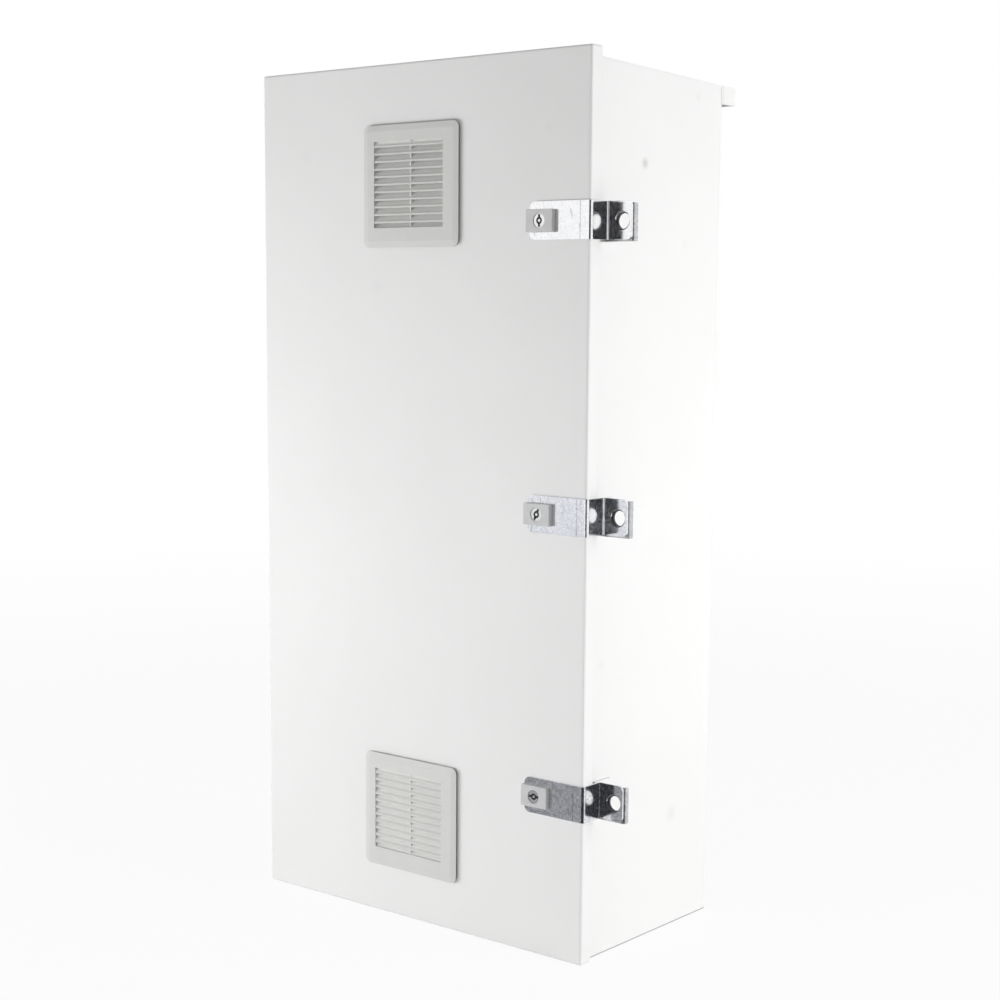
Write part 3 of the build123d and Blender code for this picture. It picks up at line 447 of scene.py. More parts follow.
@dataclass(frozen=True)
class FoamRubber:
    """Black cellular rubber with a skin that shows its pores."""

    name: str
    colour: Colour = (0.022, 0.022, 0.023)
    pores: float = 1400.0
    pore_depth: float = 0.00004
    bloom: Grain = Grain(220.0, 4.0, low=0.35)
    bloom_light: float = 2.1
    skin: Grain = Grain(500.0, 3.0, 0.0001)

    def build(self) -> Material:
        """Return the foam's material."""
        graph = Graph(self.name)
        share = graph.ramp(graph.noise(self.bloom), self.bloom.low, self.bloom.high, 0.0, 1.0)
        colour = graph.mix(share, self.colour, dimmed(self.colour, self.bloom_light))
        pores = graph.ramp(graph.cells(self.pores), 0.0, 1.0, 0.0, 1.0)
        pitted = graph.bump(pores, self.pore_depth, graph.relief(self.skin))
        return graph.dress(base_color=colour, roughness=0.82, specular_ior_level=0.25, normal=pitted)


@dataclass(frozen=True)
class Fleece:
    """Bonded polyester filter mat of loose fibres."""

    name: str
    colour: Colour = (0.44, 0.44, 0.42)
    fibres: Grain = Grain(1500.0, 4.0, 0.0004, low=0.42, high=0.68, dim=0.62)
    drawn: float = 0.12
    slants: Pair = (33.0, 21.0)
    tufts: Grain = Grain(180.0, 3.0, 0.0006)

    def build(self) -> Material:
        """Return the mat's material."""
        graph = Graph(self.name)
        drawn = ((self.drawn, 1.0, 1.0), (1.0, 1.0, self.drawn))
        lain = [graph.stretched(scale, (0.0, slant, 0.0)) for scale, slant in zip(drawn, self.slants)]
        fibres = graph.maths("MAXIMUM", *(graph.noise(self.fibres, at) for at in lain))
        colour = graph.patchy(self.colour, self.fibres, fibres)
        normal = graph.bump(fibres, self.fibres.depth, graph.relief(self.tufts))
        return graph.dress(base_color=colour, roughness=0.95, sheen_weight=0.3, normal=normal)


@dataclass(frozen=True)
class GalvanisedSheet:
    """Hot-dip galvanised sheet with large spangles."""

    name: str
    dark: Colour = (0.40, 0.42, 0.44)
    light: Colour = (0.66, 0.68, 0.70)
    roughness: Pair = (0.28, 0.46)
    spangles: float = 75.0
    raggedness: Grain = Grain(120.0, 2.0, 0.006)
    grain: Grain = Grain(700.0, 3.0, 0.00002)
    edge: float = 0.0004

    def build(self) -> Material:
        """Return the sheet's material."""
        graph = Graph(self.name)
        tone = graph.cells(self.spangles, graph.ragged(self.raggedness))
        colour = graph.mix(tone, self.dark, self.light)
        rough = graph.ramp(tone, 0.0, 1.0, *self.roughness)
        normal = graph.relief(self.grain, graph.rounded(self.edge))
        return graph.dress(base_color=colour, metallic=1.0, roughness=rough, normal=normal)


@dataclass(frozen=True)
class PlatedFixing:
    """Bright plated steel of screws, studs, nuts and pins."""

    name: str
    colour: Colour = (0.66, 0.665, 0.67)
    roughness: float = 0.27
    spread: Pair = (0.06, 0.10)
    stains: Grain = Grain(260.0, 4.0, low=0.38, high=0.68, dim=0.72)
    tooling: Grain = Grain(2600.0, 2.0, 0.000008)
    edge: float = 0.00015

    def build(self) -> Material:
        """Return the fixing's material."""
        graph = Graph(self.name)
        colour = graph.patchy(self.colour, self.stains)
        rough = graph.gloss(self.tooling, self.roughness, self.spread)
        normal = graph.relief(self.tooling, graph.rounded(self.edge))
        return graph.dress(base_color=colour, metallic=1.0, roughness=rough, normal=normal)


def body_of(node: str) -> str:
    """Return the body that carries a CAD node."""
    return frame["nodes"][node]["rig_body"]


def paint(finish: Material, *nodes: str) -> None:
    """Give CAD nodes a finish.

    Args:
        finish: The material.
        *nodes: Names of the nodes.
    """
    for node in nodes:
        materials = frame["nodes"][node].data.materials
        materials.clear()
        materials.append(finish)


def merged(node: str) -> BMesh:
    """Return a copy of a CAD node's mesh with its loose triangles joined."""
    bm = bmesh.new()
    bm.from_mesh(frame["nodes"][node].data)
    bmesh.ops.remove_doubles(bm, verts=bm.verts, dist=WELD)
    return bm


def solids(node: str) -> list[tuple[Vector, Vector]]:
    """Return the lowest and highest corner of each separate solid in a CAD node.

    Args:
        node: Name of the node.

    Returns:
        One pair of corners for each solid, from the lowest solid up.
    """
    bm = merged(node)
    left = set(bm.verts)
    boxes = []
    while left:
        reached = [left.pop()]
        for vert in reached:
            near = {edge.other_vert(vert) for edge in vert.link_edges} & left
            reached += near
            left -= near
        corners = [[pick(vert.co[axis] for vert in reached) for axis in range(3)] for pick in (min, max)]
        boxes.append((Vector(corners[0]), Vector(corners[1])))
    bm.free()
    return sorted(boxes, key=lambda pair: tuple(round(value, ndigits=5) for value in reversed(pair[0])))


def meshed(bm: BMesh, name: str, finish: Material) -> Mesh:
    """Turn a finished bmesh into a mesh, and free it.

    Args:
        bm: The shape.
        name: Name of the mesh.
        finish: Its material.

    Returns:
        The new mesh.
    """
    mesh = bpy.data.meshes.new(name)
    bm.to_mesh(mesh)
    bm.free()
    mesh.materials.append(finish)
    return mesh


def linked(name: str, data: ID) -> Object:
    """Return a new object of a mesh, light or camera, in the scene."""
    thing = bpy.data.objects.new(name, data)
    bpy.context.scene.collection.objects.link(thing)
    return thing


def added(bm: BMesh, name: str, body: str, finish: Material, crisp: float) -> Object:
    """Turn a finished bmesh into a piece of its own.

    Args:
        bm: The shape, in the cabinet's own frame.
        name: Name of the piece.
        body: Body that carries it.
        finish: Its material.
        crisp: Angle in degrees past which an edge stays sharp.

    Returns:
        The new piece.
    """
    bmesh.ops.remove_doubles(bm, verts=bm.verts, dist=MERGE)
    bmesh.ops.recalc_face_normals(bm, faces=bm.faces)
    mesh = meshed(bm, name, finish)
    for face in mesh.polygons:
        face.use_smooth = True
    mesh.set_sharp_from_angle(angle=math.radians(crisp))
    piece = linked(name, mesh)
    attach(piece, body)
    return piece


def settled(bm: BMesh, name: str, node: str, finish: Material, crisp: float) -> Object:
    """Turn a finished bmesh into the piece that a CAD node shows as, in the node's body."""
    piece = added(bm, name, body_of(node), finish, crisp)
    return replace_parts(piece, node)


def swept(bm: BMesh, loop: list[BMEdge], run: Vector, centre: Optional[Vector], steps: int) -> list[BMEdge]:
    """Extrude a loop of edges along a straight run, and then round a corner if there is one.

    Args:
        bm: Mesh that holds the loop.
        loop: The edges.
        run: Way and distance.
        centre: Point on the corner's axis, which lies along Y, or None where no corner follows.
        steps: Number of steps round the corner.

    Returns:
        The edges at the far end.
    """
    made = bmesh.ops.extrude_edge_only(bm, edges=loop)["geom"]
    moved = {part for part in made if isinstance(part, BMVert)}
    bmesh.ops.translate(bm, verts=list(moved), vec=run)
    far = [part for part in made if isinstance(part, BMEdge) and set(part.verts) <= moved]
    if centre is None:
        return far
    turn = bmesh.ops.spin(
        bm,
        geom=[*moved, *far],
        cent=centre,
        axis=Way.BACK.vector,
        angle=math.radians(90.0),
        steps=steps,
        use_merge=False,
    )
    return [part for part in turn["geom_last"] if isinstance(part, BMEdge)]


@dataclass
class Strip:
    """A strip of cellular rubber laid round a rounded rectangle, parallel to the door."""

    node: str
    width: float
    corner: float
    domed: bool
    dome_power: float = 0.8
    square_power: float = 0.45
    sides: int = 16
    turns: int = 8

    def section(self, bm: BMesh, start: Vector, deep: float) -> list[BMEdge]:
        """Make the strip's section, with its base at a point and its thickness along Y.

        Args:
            bm: Mesh to make it in.
            start: Middle of the section's base.
            deep: Thickness of the strip.

        Returns:
            The section's edges.
        """
        ring = bmesh.ops.create_circle(bm, segments=self.sides, radius=1.0)["verts"]
        for vert in ring:
            across, up = vert.co.x, vert.co.y
            if self.domed:
                up = max(up, 0.0) ** self.dome_power
            else:
                across, up = (math.copysign(abs(part) ** self.square_power, part) for part in (across, up))
                up = (up + 1.0) / 2
            vert.co = start + Vector((across * self.width / 2, up * deep, 0.0))
        return list({edge for vert in ring for edge in vert.link_edges})

    def build(self, finish: Material) -> None:
        """Sweep the section round the node's outline.

        Args:
            finish: Material of the strip.
        """
        low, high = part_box(self.node)
        middle = (low + high) / 2
        half_x = (high.x - low.x - self.width) / 2
        half_z = (high.z - low.z - self.width) / 2
        bm = bmesh.new()
        start = Vector((middle.x - half_x, low.y, middle.z))
        loop = self.section(bm, start, high.y - low.y)
        bend_x, bend_z = half_x - self.corner, half_z - self.corner
        runs = ((0.0, bend_z), (2 * bend_x, 0.0), (0.0, -2 * bend_z), (-2 * bend_x, 0.0))
        corners = ((-bend_x, bend_z), (bend_x, bend_z), (bend_x, -bend_z), (-bend_x, -bend_z))
        for (run_x, run_z), (x, z) in zip(runs, corners):
            centre = middle + Vector((x, 0.0, z))
            loop = swept(bm, loop, Vector((run_x, 0.0, run_z)), centre, self.turns)
        swept(bm, loop, Vector((0.0, 0.0, bend_z)), None, 0)
        settled(bm, f"{self.node}_strip", self.node, finish, crisp=60.0)


@dataclass(frozen=True)
class Thread:
    """A screw thread: outer radius, rise of one turn, and steps that a turn is drawn in."""

    radius: float
    pitch: float
    steps: int


SHEET_SCREW = Thread(1.2 * MM, 0.6 * MM, 10)
M5 = Thread(2.5 * MM, 0.8 * MM, 12)
M8 = Thread(4.0 * MM, 1.25 * MM, 16)
M5_FLATS = 7.96 * MM
M8_FLATS = 13.0 * MM
WASHER_EDGE = 0.2 * MM


class Blank:
    """One fixing, turned about Z from its seat upwards, and then set on a CAD node's solids."""

    SEGMENTS = 32
    FLATS = 6
    RING_RISE = 0.58
    THREAD_DEPTH = 0.61
    THREAD_CHAMFER = 0.3
    RIDGE_SUNK = 0.1
    RIDGE_RISES = (0.02, 0.40, 0.54, 0.92)
    RUN_OUT = 1.3
    ARM_WIDTH = 0.02
    ARM_FALL = 0.45

    def __init__(self) -> None:
        """Start with nothing on the lathe."""
        self.bm = bmesh.new()

    def turned(self, profile: Iterable[Pair]) -> Blank:
        """Turn a profile about the axis.

        Args:
            profile: Pairs of radius and height.

        Returns:
            The blank itself.
        """
        chain = [self.bm.verts.new((radius, 0.0, height)) for radius, height in profile]
        bmesh.ops.spin(
            self.bm,
            geom=chain + [self.bm.edges.new(pair) for pair in zip(chain, chain[1:])],
            cent=Vector(),
            axis=Way.UP.vector,
            angle=math.tau,
            steps=self.SEGMENTS,
            use_merge=True,
        )
        return self

    def collar(self, radius: float, low: float, high: float, edge: float, bore: float = 0.0) -> Blank:
        """Turn a rod with chamfered ends, or a ring with flatter chamfers where there is a bore.

        Args:
            radius: Outer radius.
            low: Height of its foot.
            high: Height of its top.
            edge: Width of the chamfers.
            bore: Radius of the hole.

        Returns:
            The blank itself.
        """
        slim = radius - edge
        rise = edge * self.RING_RISE if bore else edge
        outside = ((slim, low), (radius, low + rise), (radius, high - rise), (slim, high))
        profile = ((bore, low), *outside, (bore, high))
        return self.turned((*profile, (bore, low)) if bore else profile)

    def hexed(self, across: float) -> Blank:
        """Mill six flats on everything turned so far.

        Args:
            across: Distance between opposite flats.

        Returns:
            The blank itself.
        """
        for side in range(self.FLATS):
            angle = math.radians(60.0 * side)
            facing = Vector((math.cos(angle), math.sin(angle), 0.0))
            cut = bmesh.ops.bisect_plane(
                self.bm,
                geom=[*self.bm.verts, *self.bm.edges, *self.bm.faces],
                dist=MERGE / 4,
                plane_co=facing * across / 2,
                plane_no=facing,
                clear_outer=True,
            )
            rim = [part for part in cut["geom_cut"] if isinstance(part, BMEdge)]
            bmesh.ops.holes_fill(self.bm, edges=rim, sides=0)
        return self

    def threaded(self, thread: Thread, low: float, high: float) -> Blank:
        """Cut a thread: a core rod with a closed ridge wound round it.

        Args:
            thread: Size of the thread.
            low: Height of its foot.
            high: Height of its tip.

        Returns:
            The blank itself.
        """
        pitch = thread.pitch
        root = thread.radius - self.THREAD_DEPTH * pitch
        self.collar(root, low, high, self.THREAD_CHAMFER * pitch)
        sunk = root - self.RIDGE_SUNK * pitch
        section = zip((sunk, thread.radius, thread.radius, sunk), self.RIDGE_RISES)
        loop = [self.bm.verts.new((out, 0.0, low + rise * pitch)) for out, rise in section]
        edges = [self.bm.edges.new(pair) for pair in zip(loop, loop[1:] + loop[:1])]
        rounds = int((high - low) / pitch - self.RUN_OUT)
        wound = bmesh.ops.spin(
            self.bm,
            geom=loop + edges,
            cent=Vector(),
            axis=Way.UP.vector,
            dvec=Vector((0.0, 0.0, pitch / thread.steps)),
            angle=math.tau * rounds,
            steps=rounds * thread.steps,
            use_merge=False,
        )
        last = [part for part in wound["geom_last"] if isinstance(part, BMEdge)]
        for rim in (edges, last):
            bmesh.ops.contextual_create(self.bm, geom=rim)
        return self

    def crossed(self, top: float, reach: float, depth: float) -> Blank:
        """Press a cross recess into the flat top of a head.

        Args:
            top: Height of the head's flat top.
            reach: Half the length of the cross.
            depth: Depth at its middle.

        Returns:
            The blank itself.
        """
        for vert in self.bm.verts:
            out = vert.co.xy.length
            on_arm = min(abs(vert.co.x), abs(vert.co.y)) < self.ARM_WIDTH * reach
            if on_arm and out < reach and abs(vert.co.z - top) < MERGE:
                vert.co.z -= depth * (1.0 - self.ARM_FALL * out / reach)
        return self

    def fitted(self, node: str, way: Way, finish: Material) -> None:
        """Set a copy on each solid of a CAD node.

        Args:
            node: Node that the copies stand for.
            way: Direction from the seat to the tip.
            finish: Their material.
        """
        turn = way.vector.to_track_quat("Z", "Y").to_matrix().to_4x4()
        mould = bpy.data.meshes.new(f"{node}_mould")
        bm = bmesh.new()
        for low, high in solids(node):
            length = abs((high - low).dot(way.vector))
            seat = (low + high) / 2 - way.vector * length / 2
            copy = self.bm.copy()
            bmesh.ops.transform(copy, matrix=Matrix.Translation(seat) @ turn, verts=copy.verts)
            copy.to_mesh(mould)
            copy.free()
            bm.from_mesh(mould)
        bpy.data.meshes.remove(mould)
        self.bm.free()
        settled(bm, f"{node}_turned", node, finish, crisp=28.0)


@dataclass(frozen=True)
class CrossHead:
    """A cross-recess screw with its head at the tip, in millimetres from the thread's end."""

    thread: Thread
    shank: float
    outline: tuple[Pair, ...]
    top: float
    rings: tuple[float, ...]
    reach: float
    depth: float

    def blank(self) -> Blank:
        """Return the screw, ready to be fitted."""
        profile = (*self.outline, *((out, self.top) for out in self.rings))
        screw = Blank().turned((out * MM, rise * MM) for out, rise in profile)
        screw.crossed(self.top * MM, self.reach * MM, self.depth * MM)
        return screw.threaded(self.thread, 0.0, self.shank * MM)


VENT_SCREW = CrossHead(
    SHEET_SCREW,
    shank=8.4,
    outline=((0.0, 8.4), (2.8, 8.4), (2.8, 8.9), (2.5, 9.8), (2.0, 10.2)),
    top=10.2,
    rings=(1.5, 1.0, 0.5, 0.0),
    reach=1.7,
    depth=0.9,
)
COUNTERSUNK = CrossHead(
    M5,
    shank=9.4,
    outline=((0.0, 9.2), (2.3, 9.2), (2.5, 9.5), (4.9, 11.8), (5.0, 12.0)),
    top=12.0,
    rings=(3.6, 2.6, 1.6, 0.8, 0.0),
    reach=2.8,
    depth=1.5,
)


def m5_nut() -> Blank:
    """Return a chamfered M5 hexagon nut."""
    nut = Blank().collar(radius=4.6 * MM, low=0.0, high=4.0 * MM, edge=0.6 * MM, bore=2.4 * MM)
    return nut.hexed(M5_FLATS)


@dataclass
class Mat:
    """A cut piece of bonded fleece, uneven on both faces."""

    node: str
    cells: int = 44
    sink: float = 0.9 * MM
    lump_scale: Place = (17.0, 17.0, 9.0)
    lump_shape: tuple[float, float, int] = (1.0, 2.0, 4)
    rim_dip: float = 0.25
    fray: float = 1.3 * MM
    fray_scale: float = 31.0
    fray_level: float = 4.0
    fray_power: int = 9

    def build(self, finish: Material) -> None:
        """Lay the mat between the vent's cover and guard.

        Args:
            finish: Material of the fleece.
        """
        low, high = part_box(self.node)
        size, middle = high - low, (low + high) / 2
        bm = bmesh.new()
        bmesh.ops.create_grid(bm, x_segments=self.cells, y_segments=self.cells, size=0.5)
        raised = bmesh.ops.extrude_face_region(bm, geom=list(bm.faces), use_keep_orig=True)["geom"]
        raised = [part for part in raised if isinstance(part, BMVert)]
        bmesh.ops.translate(bm, verts=raised, vec=Way.UP.vector)
        for vert in bm.verts:
            across, up, deep = vert.co
            spot = Vector(part * scale for part, scale in zip(vert.co, self.lump_scale))
            lump = noise.fractal(spot, *self.lump_shape)
            dip = self.sink * min(abs(lump) + self.rim_dip * max(abs(across), abs(up)), 1.0)
            spot = Vector((across * self.fray_scale, up * self.fray_scale, self.fray_level))
            rim = self.fray * (0.5 + 0.5 * noise.noise(spot))
            pull = Vector((across, up)) * 2.0
            vert.co = middle + Vector((
                across * size.x - rim * pull.x ** self.fray_power,
                (deep - 0.5) * (size.y - 2.0 * dip),
                up * size.z - rim * pull.y ** self.fray_power,
            ))
        settled(bm, f"{self.node}_fleece", self.node, finish, crisp=80.0)


@dataclass
class Pad:
    """A flat seal with rounded edges, made from a copy of its CAD node."""

    node: str
    radius: float
    segments: int = 3
    flat_below: float = 1.0
    sharp_above: float = 40.0

    def build(self, finish: Material) -> None:
        """Round the copy's edges.

        Args:
            finish: Material of the pad.
        """
        bm = merged(self.node)
        flat, sharp = math.radians(self.flat_below), math.radians(self.sharp_above)
        bmesh.ops.dissolve_limit(bm, angle_limit=flat, verts=bm.verts, edges=bm.edges)
        bmesh.ops.bevel(
            bm,
            geom=[edge for edge in bm.edges if edge.is_manifold and edge.calc_face_angle() > sharp],
            offset=self.radius,
            affect="EDGES",
            segments=self.segments,
            profile=0.5,
            material=-1,
            clamp_overlap=True,
        )
        settled(bm, f"{self.node}_softened", self.node, finish, crisp=50.0)


@dataclass
class Casing:
    """Body shell, roof and floor, folded from sheet and powder-coated, with the nose's filled seams."""

    side_marks: tuple[Mark, ...] = (
        Mark((0.240, -0.031, 0.896), 9 * MM, 0.30),
        Mark((0.240, 0.045, 0.137), 14 * MM, 0.09),
        Mark((0.240, 0.073, 0.977), 8 * MM, 0.05),
        Mark((0.240, 0.050, 0.810), 8 * MM, 0.05),
        Mark((0.240, -0.1005, 0.339), 8 * MM, 0.05),
    )
    # Height of the painted shadow line along the casing's foot.
    foot_shadow_line: float = 1.3 * MM
    seam_thick: float = 3.4 * MM
    seam_width: float = 4.2 * MM
    seam_behind: float = 0.3 * MM
    seam_top: float = 18.5 * MM

    def seams(self, coat: Material) -> None:
        """Fill the groove between each rear bend and the nose's end, flush with the side.

        Args:
            coat: The casing's finish.
        """
        shell_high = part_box("body_shell")[1]
        nose_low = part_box("roof_panel")[0].z
        bm = bmesh.new()
        for side in (-1.0, 1.0):
            place = Vector((
                side * (shell_high.x - self.seam_thick / 2),
                shell_high.y - self.seam_width / 2 + self.seam_behind,
                nose_low + self.seam_top / 2,
            ))
            cube = bmesh.ops.create_cube(bm, size=1.0)["verts"]
            bmesh.ops.scale(bm, verts=cube, vec=(self.seam_thick, self.seam_width, self.seam_top))
            bmesh.ops.translate(bm, verts=cube, vec=place)
        body, slot = body_of("roof_panel"), SLOTS["roof_panel"]
        added(bm, "nose_seams", body, coat, crisp=32.0)

    def build(self) -> None:
        """Dress the three sheets and fill the seams."""
        coat = PowderCoat("coat_casing", marks=self.side_marks, foot=self.foot_shadow_line).build()
        paint(coat, "body_shell", "roof_panel", "floor_panel")
        self.seams(coat)
        LOG.info("casing: shell, roof, floor and nose seams")


@dataclass
class Door:
    """The lid-shaped door and its gasket."""

    gasket_width: float = 12 * MM
    gasket_corner: float = 6 * MM
    smudges: tuple[Mark, ...] = (
        Mark((-0.061, -0.145, 0.759), 14 * MM, 0.030),
        Mark((-0.177, -0.145, 0.913), 12 * MM, 0.025),
        Mark((0.193, -0.145, 0.929), 10 * MM, 0.025),
    )

    def build(self) -> None:
        """Dress the panel and lay the gasket."""
        paint(PowderCoat("coat_door", marks=self.smudges).build(), "door_panel")
        rubber = FoamRubber("foam_gasket").build()
        Strip("door_gasket", self.gasket_width, self.gasket_corner, domed=True).build(rubber)
        LOG.info("door: panel and gasket")


@dataclass
class Vents:
    """Two louvred covers, each with a seal, a filter mat and a guard behind it."""

    seal_width: float = 2.4 * MM
    seal_corner: float = 5 * MM

    def build(self) -> None:
        """Dress the covers and guards, and make the soft parts and screws."""
        face_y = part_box("vent_cover_top")[0].y
        cover = MouldedPlastic("polymer_cover", face_shade=0.42, face_y=face_y).build()
        guard = MouldedPlastic("polymer_guard", colour=(0.30, 0.30, 0.30), roughness=0.55).build()
        fleece = Fleece("fleece_mat").build()
        rubber = FoamRubber("foam_seal", colour=(0.012, 0.012, 0.012)).build()
        for place in ("top", "bottom"):
            paint(cover, f"vent_cover_{place}")
            paint(guard, f"vent_guard_{place}")
            Mat(f"filter_mat_{place}").build(fleece)
            Strip(f"vent_seal_{place}", self.seal_width, self.seal_corner, domed=False).build(rubber)
            LOG.info("vent %s: cover, seal, mat and guard", place)
        VENT_SCREW.blank().fitted("vent_screws", Way.BACK, PlatedFixing("steel_vent_screw").build())
        LOG.info("vents: screws")


@dataclass
class Latches:
    """Hasps that wrap the door's edge, and the keepers behind their ears."""

    hole_x: float = 0.2717
    hole_drop: float = 1.0 * MM
    keeper_hole: float = 9.3 * MM
    keeper_bare_from: float = 0.2440
    # Painted reflection: one plating, drawn lightest on the top hasp and darkest on the bottom one.
    reflected_tones: tuple[tuple[Colour, Colour], ...] = (
        ((0.86, 0.865, 0.88), (0.96, 0.962, 0.97)),
        ((0.80, 0.81, 0.84), (0.95, 0.955, 0.97)),
        ((0.62, 0.63, 0.66), (0.94, 0.945, 0.96)),
    )

    def build(self) -> None:
        """Dress each hasp and keeper, and make the screws and nuts."""
        for level, (dark, light) in zip(Level, self.reflected_tones):
            low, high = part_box(f"hasp_{level.value}")
            hole = (self.hole_x, 0.0, (low.z + high.z) / 2 - self.hole_drop)
            strap = ZincPlate(f"zinc_hasp_{level.value}", dark, light, hole=hole)
            paint(strap.build(), f"hasp_{level.value}")
            keeper = ZincPlate(
                f"zinc_keeper_{level.value}",
                dark=(0.50, 0.51, 0.52),
                light=(0.68, 0.69, 0.70),
                roughness=0.30,
                hole=hole,
                hole_radius=self.keeper_hole,
                coat_edge=self.keeper_bare_from,
            )
            paint(keeper.build(), f"keeper_{level.value}")
            LOG.info("latch %s: hasp and keeper", level.value)
        steel = PlatedFixing("steel_keeper_fixing").build()
        COUNTERSUNK.blank().fitted("keeper_screws", Way.RIGHT, steel)
        m5_nut().fitted("keeper_nuts", Way.LEFT, steel)
        LOG.info("latches: screws and nuts")


@dataclass
class Locks:
    """Quarter-turn locks: housings, nuts, rotors, cams and the screws that hold the cams."""

    thread_end: float = 9.4 * MM
    washer_bore: float = 2.6 * MM
    washer_radius: float = 6.5 * MM
    washer_foot: float = 9.0 * MM
    head_radius: float = 4.6 * MM
    head_foot: float = 10.0 * MM
    head_top: float = 13.5 * MM
    head_edge: float = 0.5 * MM

    def cam_screw(self) -> Blank:
        """Return a hexagon screw with its washer."""
        head = Blank().collar(self.head_radius, self.head_foot, self.head_top, self.head_edge)
        head.hexed(M5_FLATS)
        head.collar(self.washer_radius, self.washer_foot, self.head_foot, WASHER_EDGE, self.washer_bore)
        return head.threaded(M5, 0.0, self.thread_end)

    def build(self) -> None:
        """Dress each lock's pieces, and make the cam screws."""
        housing = CastZinc("zinc_housing").build()
        bright = CastZinc("zinc_rotor", colour=(0.88, 0.88, 0.87), roughness=0.20, edge=0.0002, metal=1.0)
        rotor = bright.build()
        steel = PlatedFixing("steel_lock_parts").build()
        for level in Level:
            paint(housing, f"lock_housing_{level.value}")
            paint(rotor, f"lock_rotor_{level.value}")
            paint(steel, f"lock_nut_{level.value}", f"lock_cam_{level.value}")
            self.cam_screw().fitted(f"cam_screw_{level.value}", Way.BACK, steel)
            LOG.info("lock %s: housing, rotor and cam", level.value)


@dataclass
class Hinges:
    """Leaf hinges on the left side, with their screws and nuts."""

    def build(self) -> None:
        """Dress each hinge's leaves and pin, and make the screws and nuts."""
        leaf = ZincPlate("zinc_hinge", dark=(0.56, 0.57, 0.58), light=(0.76, 0.77, 0.78), roughness=0.28)
        zinc = leaf.build()
        pin = PlatedFixing("steel_pin").build()
        for level in Level:
            paint(zinc, f"hinge_body_leaf_{level.value}", f"hinge_door_leaf_{level.value}")
            paint(pin, f"hinge_pin_{level.value}")
            LOG.info("hinge %s: leaves and pin", level.value)
        steel = PlatedFixing("steel_hinge_fixing").build()
        COUNTERSUNK.blank().fitted("hinge_screws", Way.LEFT, steel)
        m5_nut().fitted("hinge_nuts", Way.RIGHT, steel)
        LOG.info("hinges: screws and nuts")


@dataclass
class Interior:
    """Gear plate, gland plate with its seal, the fixings that hold them, and the earth studs."""

    spacer_radius: float = 7.0 * MM
    spacer_top: float = 18.0 * MM
    spacer_edge: float = 0.4 * MM
    gear_thread: Pair = (17.0 * MM, 32.0 * MM)
    washer_bore: float = 4.1 * MM
    washer_radius: float = 8.0 * MM
    washer_top: float = 1.6 * MM
    nut_bore: float = 3.7 * MM
    nut_radius: float = 7.5 * MM
    nut_top: float = 8.1 * MM
    nut_edge: float = 0.9 * MM
    gland_thread: float = 13.0 * MM
    earth_thread: float = 20.0 * MM
    seal_radius: float = 0.5 * MM

    def gear_nut(self) -> Blank:
        """Return an M8 nut on its washer."""
        nut = Blank().collar(self.nut_radius, self.washer_top, self.nut_top, self.nut_edge, self.nut_bore)
        nut.hexed(M8_FLATS)
        return nut.collar(self.washer_radius, 0.0, self.washer_top, WASHER_EDGE, self.washer_bore)

    def build(self) -> None:
        """Dress the plates, and make the fixings and the seal."""
        paint(GalvanisedSheet("galvanised_plate").build(), "gear_plate", "gland_plate")
        steel = PlatedFixing("steel_fixing").build()
        stud = Blank().collar(self.spacer_radius, 0.0, self.spacer_top, self.spacer_edge)
        stud.threaded(M8, *self.gear_thread).fitted("gear_plate_studs", Way.FRONT, steel)
        self.gear_nut().fitted("gear_plate_nuts", Way.FRONT, steel)
        Blank().threaded(M5, 0.0, self.gland_thread).fitted("gland_studs", Way.UP, steel)
        m5_nut().fitted("gland_nuts", Way.UP, steel)
        brass = PlatedFixing("brass_stud", colour=(0.80, 0.58, 0.28)).build()
        for node, way in (("body_earth_stud", Way.LEFT), ("door_earth_stud", Way.BACK)):
            Blank().threaded(M8, 0.0, self.earth_thread).fitted(node, way, brass)
        Pad("gland_seal", self.seal_radius).build(FoamRubber("rubber_gland").build())
        LOG.info("interior: plates and fixings")


@dataclass(frozen=True)
class Aimed:
    """A thing in the studio that is turned towards a point."""

    name: str
    place: Place
    aim: Place
    size: Pair

    def stood(self, data: ID, front: str) -> Object:
        """Stand a lamp or card in its place, where the camera doesn't see it.

        Args:
            data: Its light or mesh.
            front: Axis of it that faces the aim.

        Returns:
            The placed object.
        """
        thing = linked(self.name, data)
        thing.location = self.place
        thing.rotation_euler = (Vector(self.aim) - Vector(self.place)).to_track_quat(front, "Y").to_euler()
        thing.visible_camera = False
        return thing


@dataclass(frozen=True)
class Lamp(Aimed):
    """A softbox that mirror-like surfaces don't show."""

    watts: float

    def build(self) -> None:
        """Light the lamp."""
        light = bpy.data.lights.new(self.name, "AREA")
        light.shape = "RECTANGLE"
        light.size, light.size_y = self.size
        light.energy = self.watts
        self.stood(light, "-Z").visible_glossy = False


@dataclass(frozen=True)
class Flag(Aimed):
    """A studio card that only mirror-like surfaces show."""

    tint: Colour

    def build(self) -> None:
        """Hang the card."""
        bm = bmesh.new()
        bmesh.ops.create_grid(bm, x_segments=1, y_segments=1, size=0.5)
        bmesh.ops.scale(bm, verts=bm.verts, vec=(*self.size, 1.0))
        material = bpy.data.materials.new(self.name)
        tree = Tree(material)
        glow = tree.add("Emission", {"Color": self.tint})
        tree.add("OutputMaterial", {"Surface": glow.outputs["Emission"]})
        card = self.stood(meshed(bm, self.name, material), "Z")
        card.visible_diffuse = False
        card.visible_shadow = False
        card.visible_transmission = False


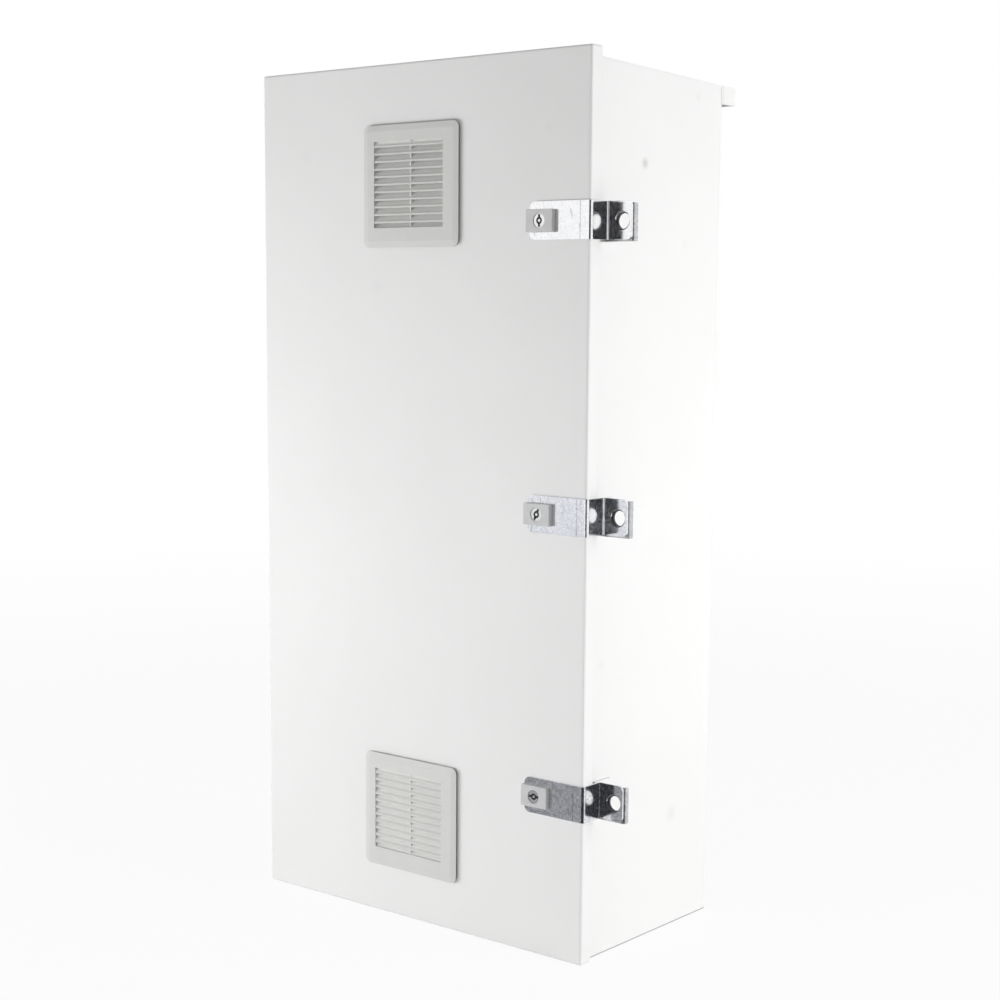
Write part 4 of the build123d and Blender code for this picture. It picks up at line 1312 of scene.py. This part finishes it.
@dataclass
class Studio:
    """Floor, world, softboxes, cards and camera."""

    floor_size: float = 14.0
    floor_drop: float = 0.0002
    floor_grey: float = 0.80
    floor_glow: float = 0.93
    white_from: float = 0.9
    white_past: float = 4.0
    world_fill: float = 0.35
    camera_place: Place = (1.46486, -1.77768, 0.74121)
    camera_turn: Place = (82.198, -0.391, 39.348)
    lens: float = 67.576
    sensor: float = 36.0
    shift_up: float = 0.06
    lamps: tuple[Lamp, ...] = (
        Lamp("softbox_right", (2.2, 0.7, 0.9), (0.2, 0.0, 0.5), (1.6, 2.2), 29.2),
        Lamp("softbox_right_low", (1.5, 0.3, 0.15), (0.24, 0.0, 0.15), (1.4, 0.4), 6.0),
        Lamp("softbox_left_low", (-1.25, -1.35, 0.26), (-0.1, -0.14, 0.16), (1.3, 0.5), 16.9),
        Lamp("softbox_front_low", (0.25, -1.5, 0.12), (0.1, -0.14, 0.1), (1.0, 0.3), 3.8),
    )
    cards: tuple[Flag, ...] = (
        Flag("card_camera_side", (1.9, -2.32, 0.75), (0.25, -0.13, 0.55), (2.4, 3.2), (0.030, 0.030, 0.034)),
        Flag("card_floor_camera", (0.80, -0.92, 0.001), (0.80, -0.92, 1.0), (1.1, 1.5), (0.04, 0.04, 0.046)),
        Flag("card_floor_left", (-0.75, -1.15, 0.001), (-0.75, -1.15, 1.0), (2.0, 1.6), (0.34, 0.34, 0.36)),
        Flag("card_floor_far", (-2.7, -3.9, 0.001), (-2.7, -3.9, 1.0), (3.2, 3.0), (0.76, 0.77, 0.81)),
    )

    def seen_white(self, tree: Tree) -> NodeSocket:
        """Return 1 for camera, mirror and clear rays, and 0 for the rays that light the object."""
        rays = tree.add("LightPath", {}).outputs
        bright = tree.maths("MAXIMUM", rays["Is Camera Ray"], rays["Is Glossy Ray"])
        return tree.maths("MAXIMUM", bright, rays["Is Transmission Ray"])

    def build_world(self) -> None:
        """Make a world that is white to the eye and a plain fill to the object."""
        world = bpy.data.worlds.new("studio_world")
        bpy.context.scene.world = world
        tree = Tree(world)
        feeds = {"Value": self.seen_white(tree), "To Min": self.world_fill, "To Max": 1.0}
        strength = tree.add("MapRange", feeds).outputs["Result"]
        glow = tree.add("Background", {"Color": WHITE, "Strength": strength})
        tree.add("OutputWorld", {"Surface": glow.outputs["Background"]})

    def build_floor(self) -> None:
        """Lay a pale floor that keeps a soft shadow of the cabinet and turns white far off."""
        bm = bmesh.new()
        bmesh.ops.create_grid(bm, x_segments=1, y_segments=1, size=self.floor_size / 2)
        bmesh.ops.translate(bm, verts=bm.verts, vec=(0.0, 0.0, -self.floor_drop))
        material = bpy.data.materials.new("studio_floor")
        tree = Tree(material)
        away = tree.add("VectorMath", {0: tree.place()}, operation="LENGTH").outputs["Value"]
        whiter = tree.ramp(away, self.white_from, self.white_past, self.floor_glow, 1.0)
        share = tree.maths("MULTIPLY", self.seen_white(tree), whiter)
        matt = tree.add("BsdfDiffuse", {"Color": dimmed(WHITE, self.floor_grey)}).outputs["BSDF"]
        glow = tree.add("Emission", {}).outputs["Emission"]
        mixed = tree.add("MixShader", {"Fac": share, 1: matt, 2: glow})
        tree.add("OutputMaterial", {"Surface": mixed.outputs["Shader"]})
        floor = linked("studio_floor", meshed(bm, "studio_floor", material))

    def build_camera(self) -> None:
        """Set the camera at the photograph's angle."""
        lens = bpy.data.cameras.new("camera")
        lens.lens = self.lens
        lens.sensor_width = self.sensor
        lens.shift_y = self.shift_up
        camera = linked("camera", lens)
        camera.location = self.camera_place
        camera.rotation_euler = Euler(tuple(map(math.radians, self.camera_turn)))
        bpy.context.scene.camera = camera

    def build(self) -> None:
        """Set up the whole studio."""
        bpy.context.scene.view_settings.view_transform = "Standard"
        self.build_world()
        self.build_floor()
        for thing in (*self.lamps, *self.cards):
            thing.build()
        self.build_camera()
        LOG.info("studio: floor, world, %d lamps, %d cards, camera", len(self.lamps), len(self.cards))


def main() -> None:
    """Build every sub-assembly in order."""
    logging.basicConfig(level=logging.INFO, format="%(name)s: %(message)s")
    for assembly in (Casing(), Door(), Vents(), Latches(), Locks(), Hinges(), Interior(), Studio()):
        assembly.build()


if __name__ == "__main__":
    main()
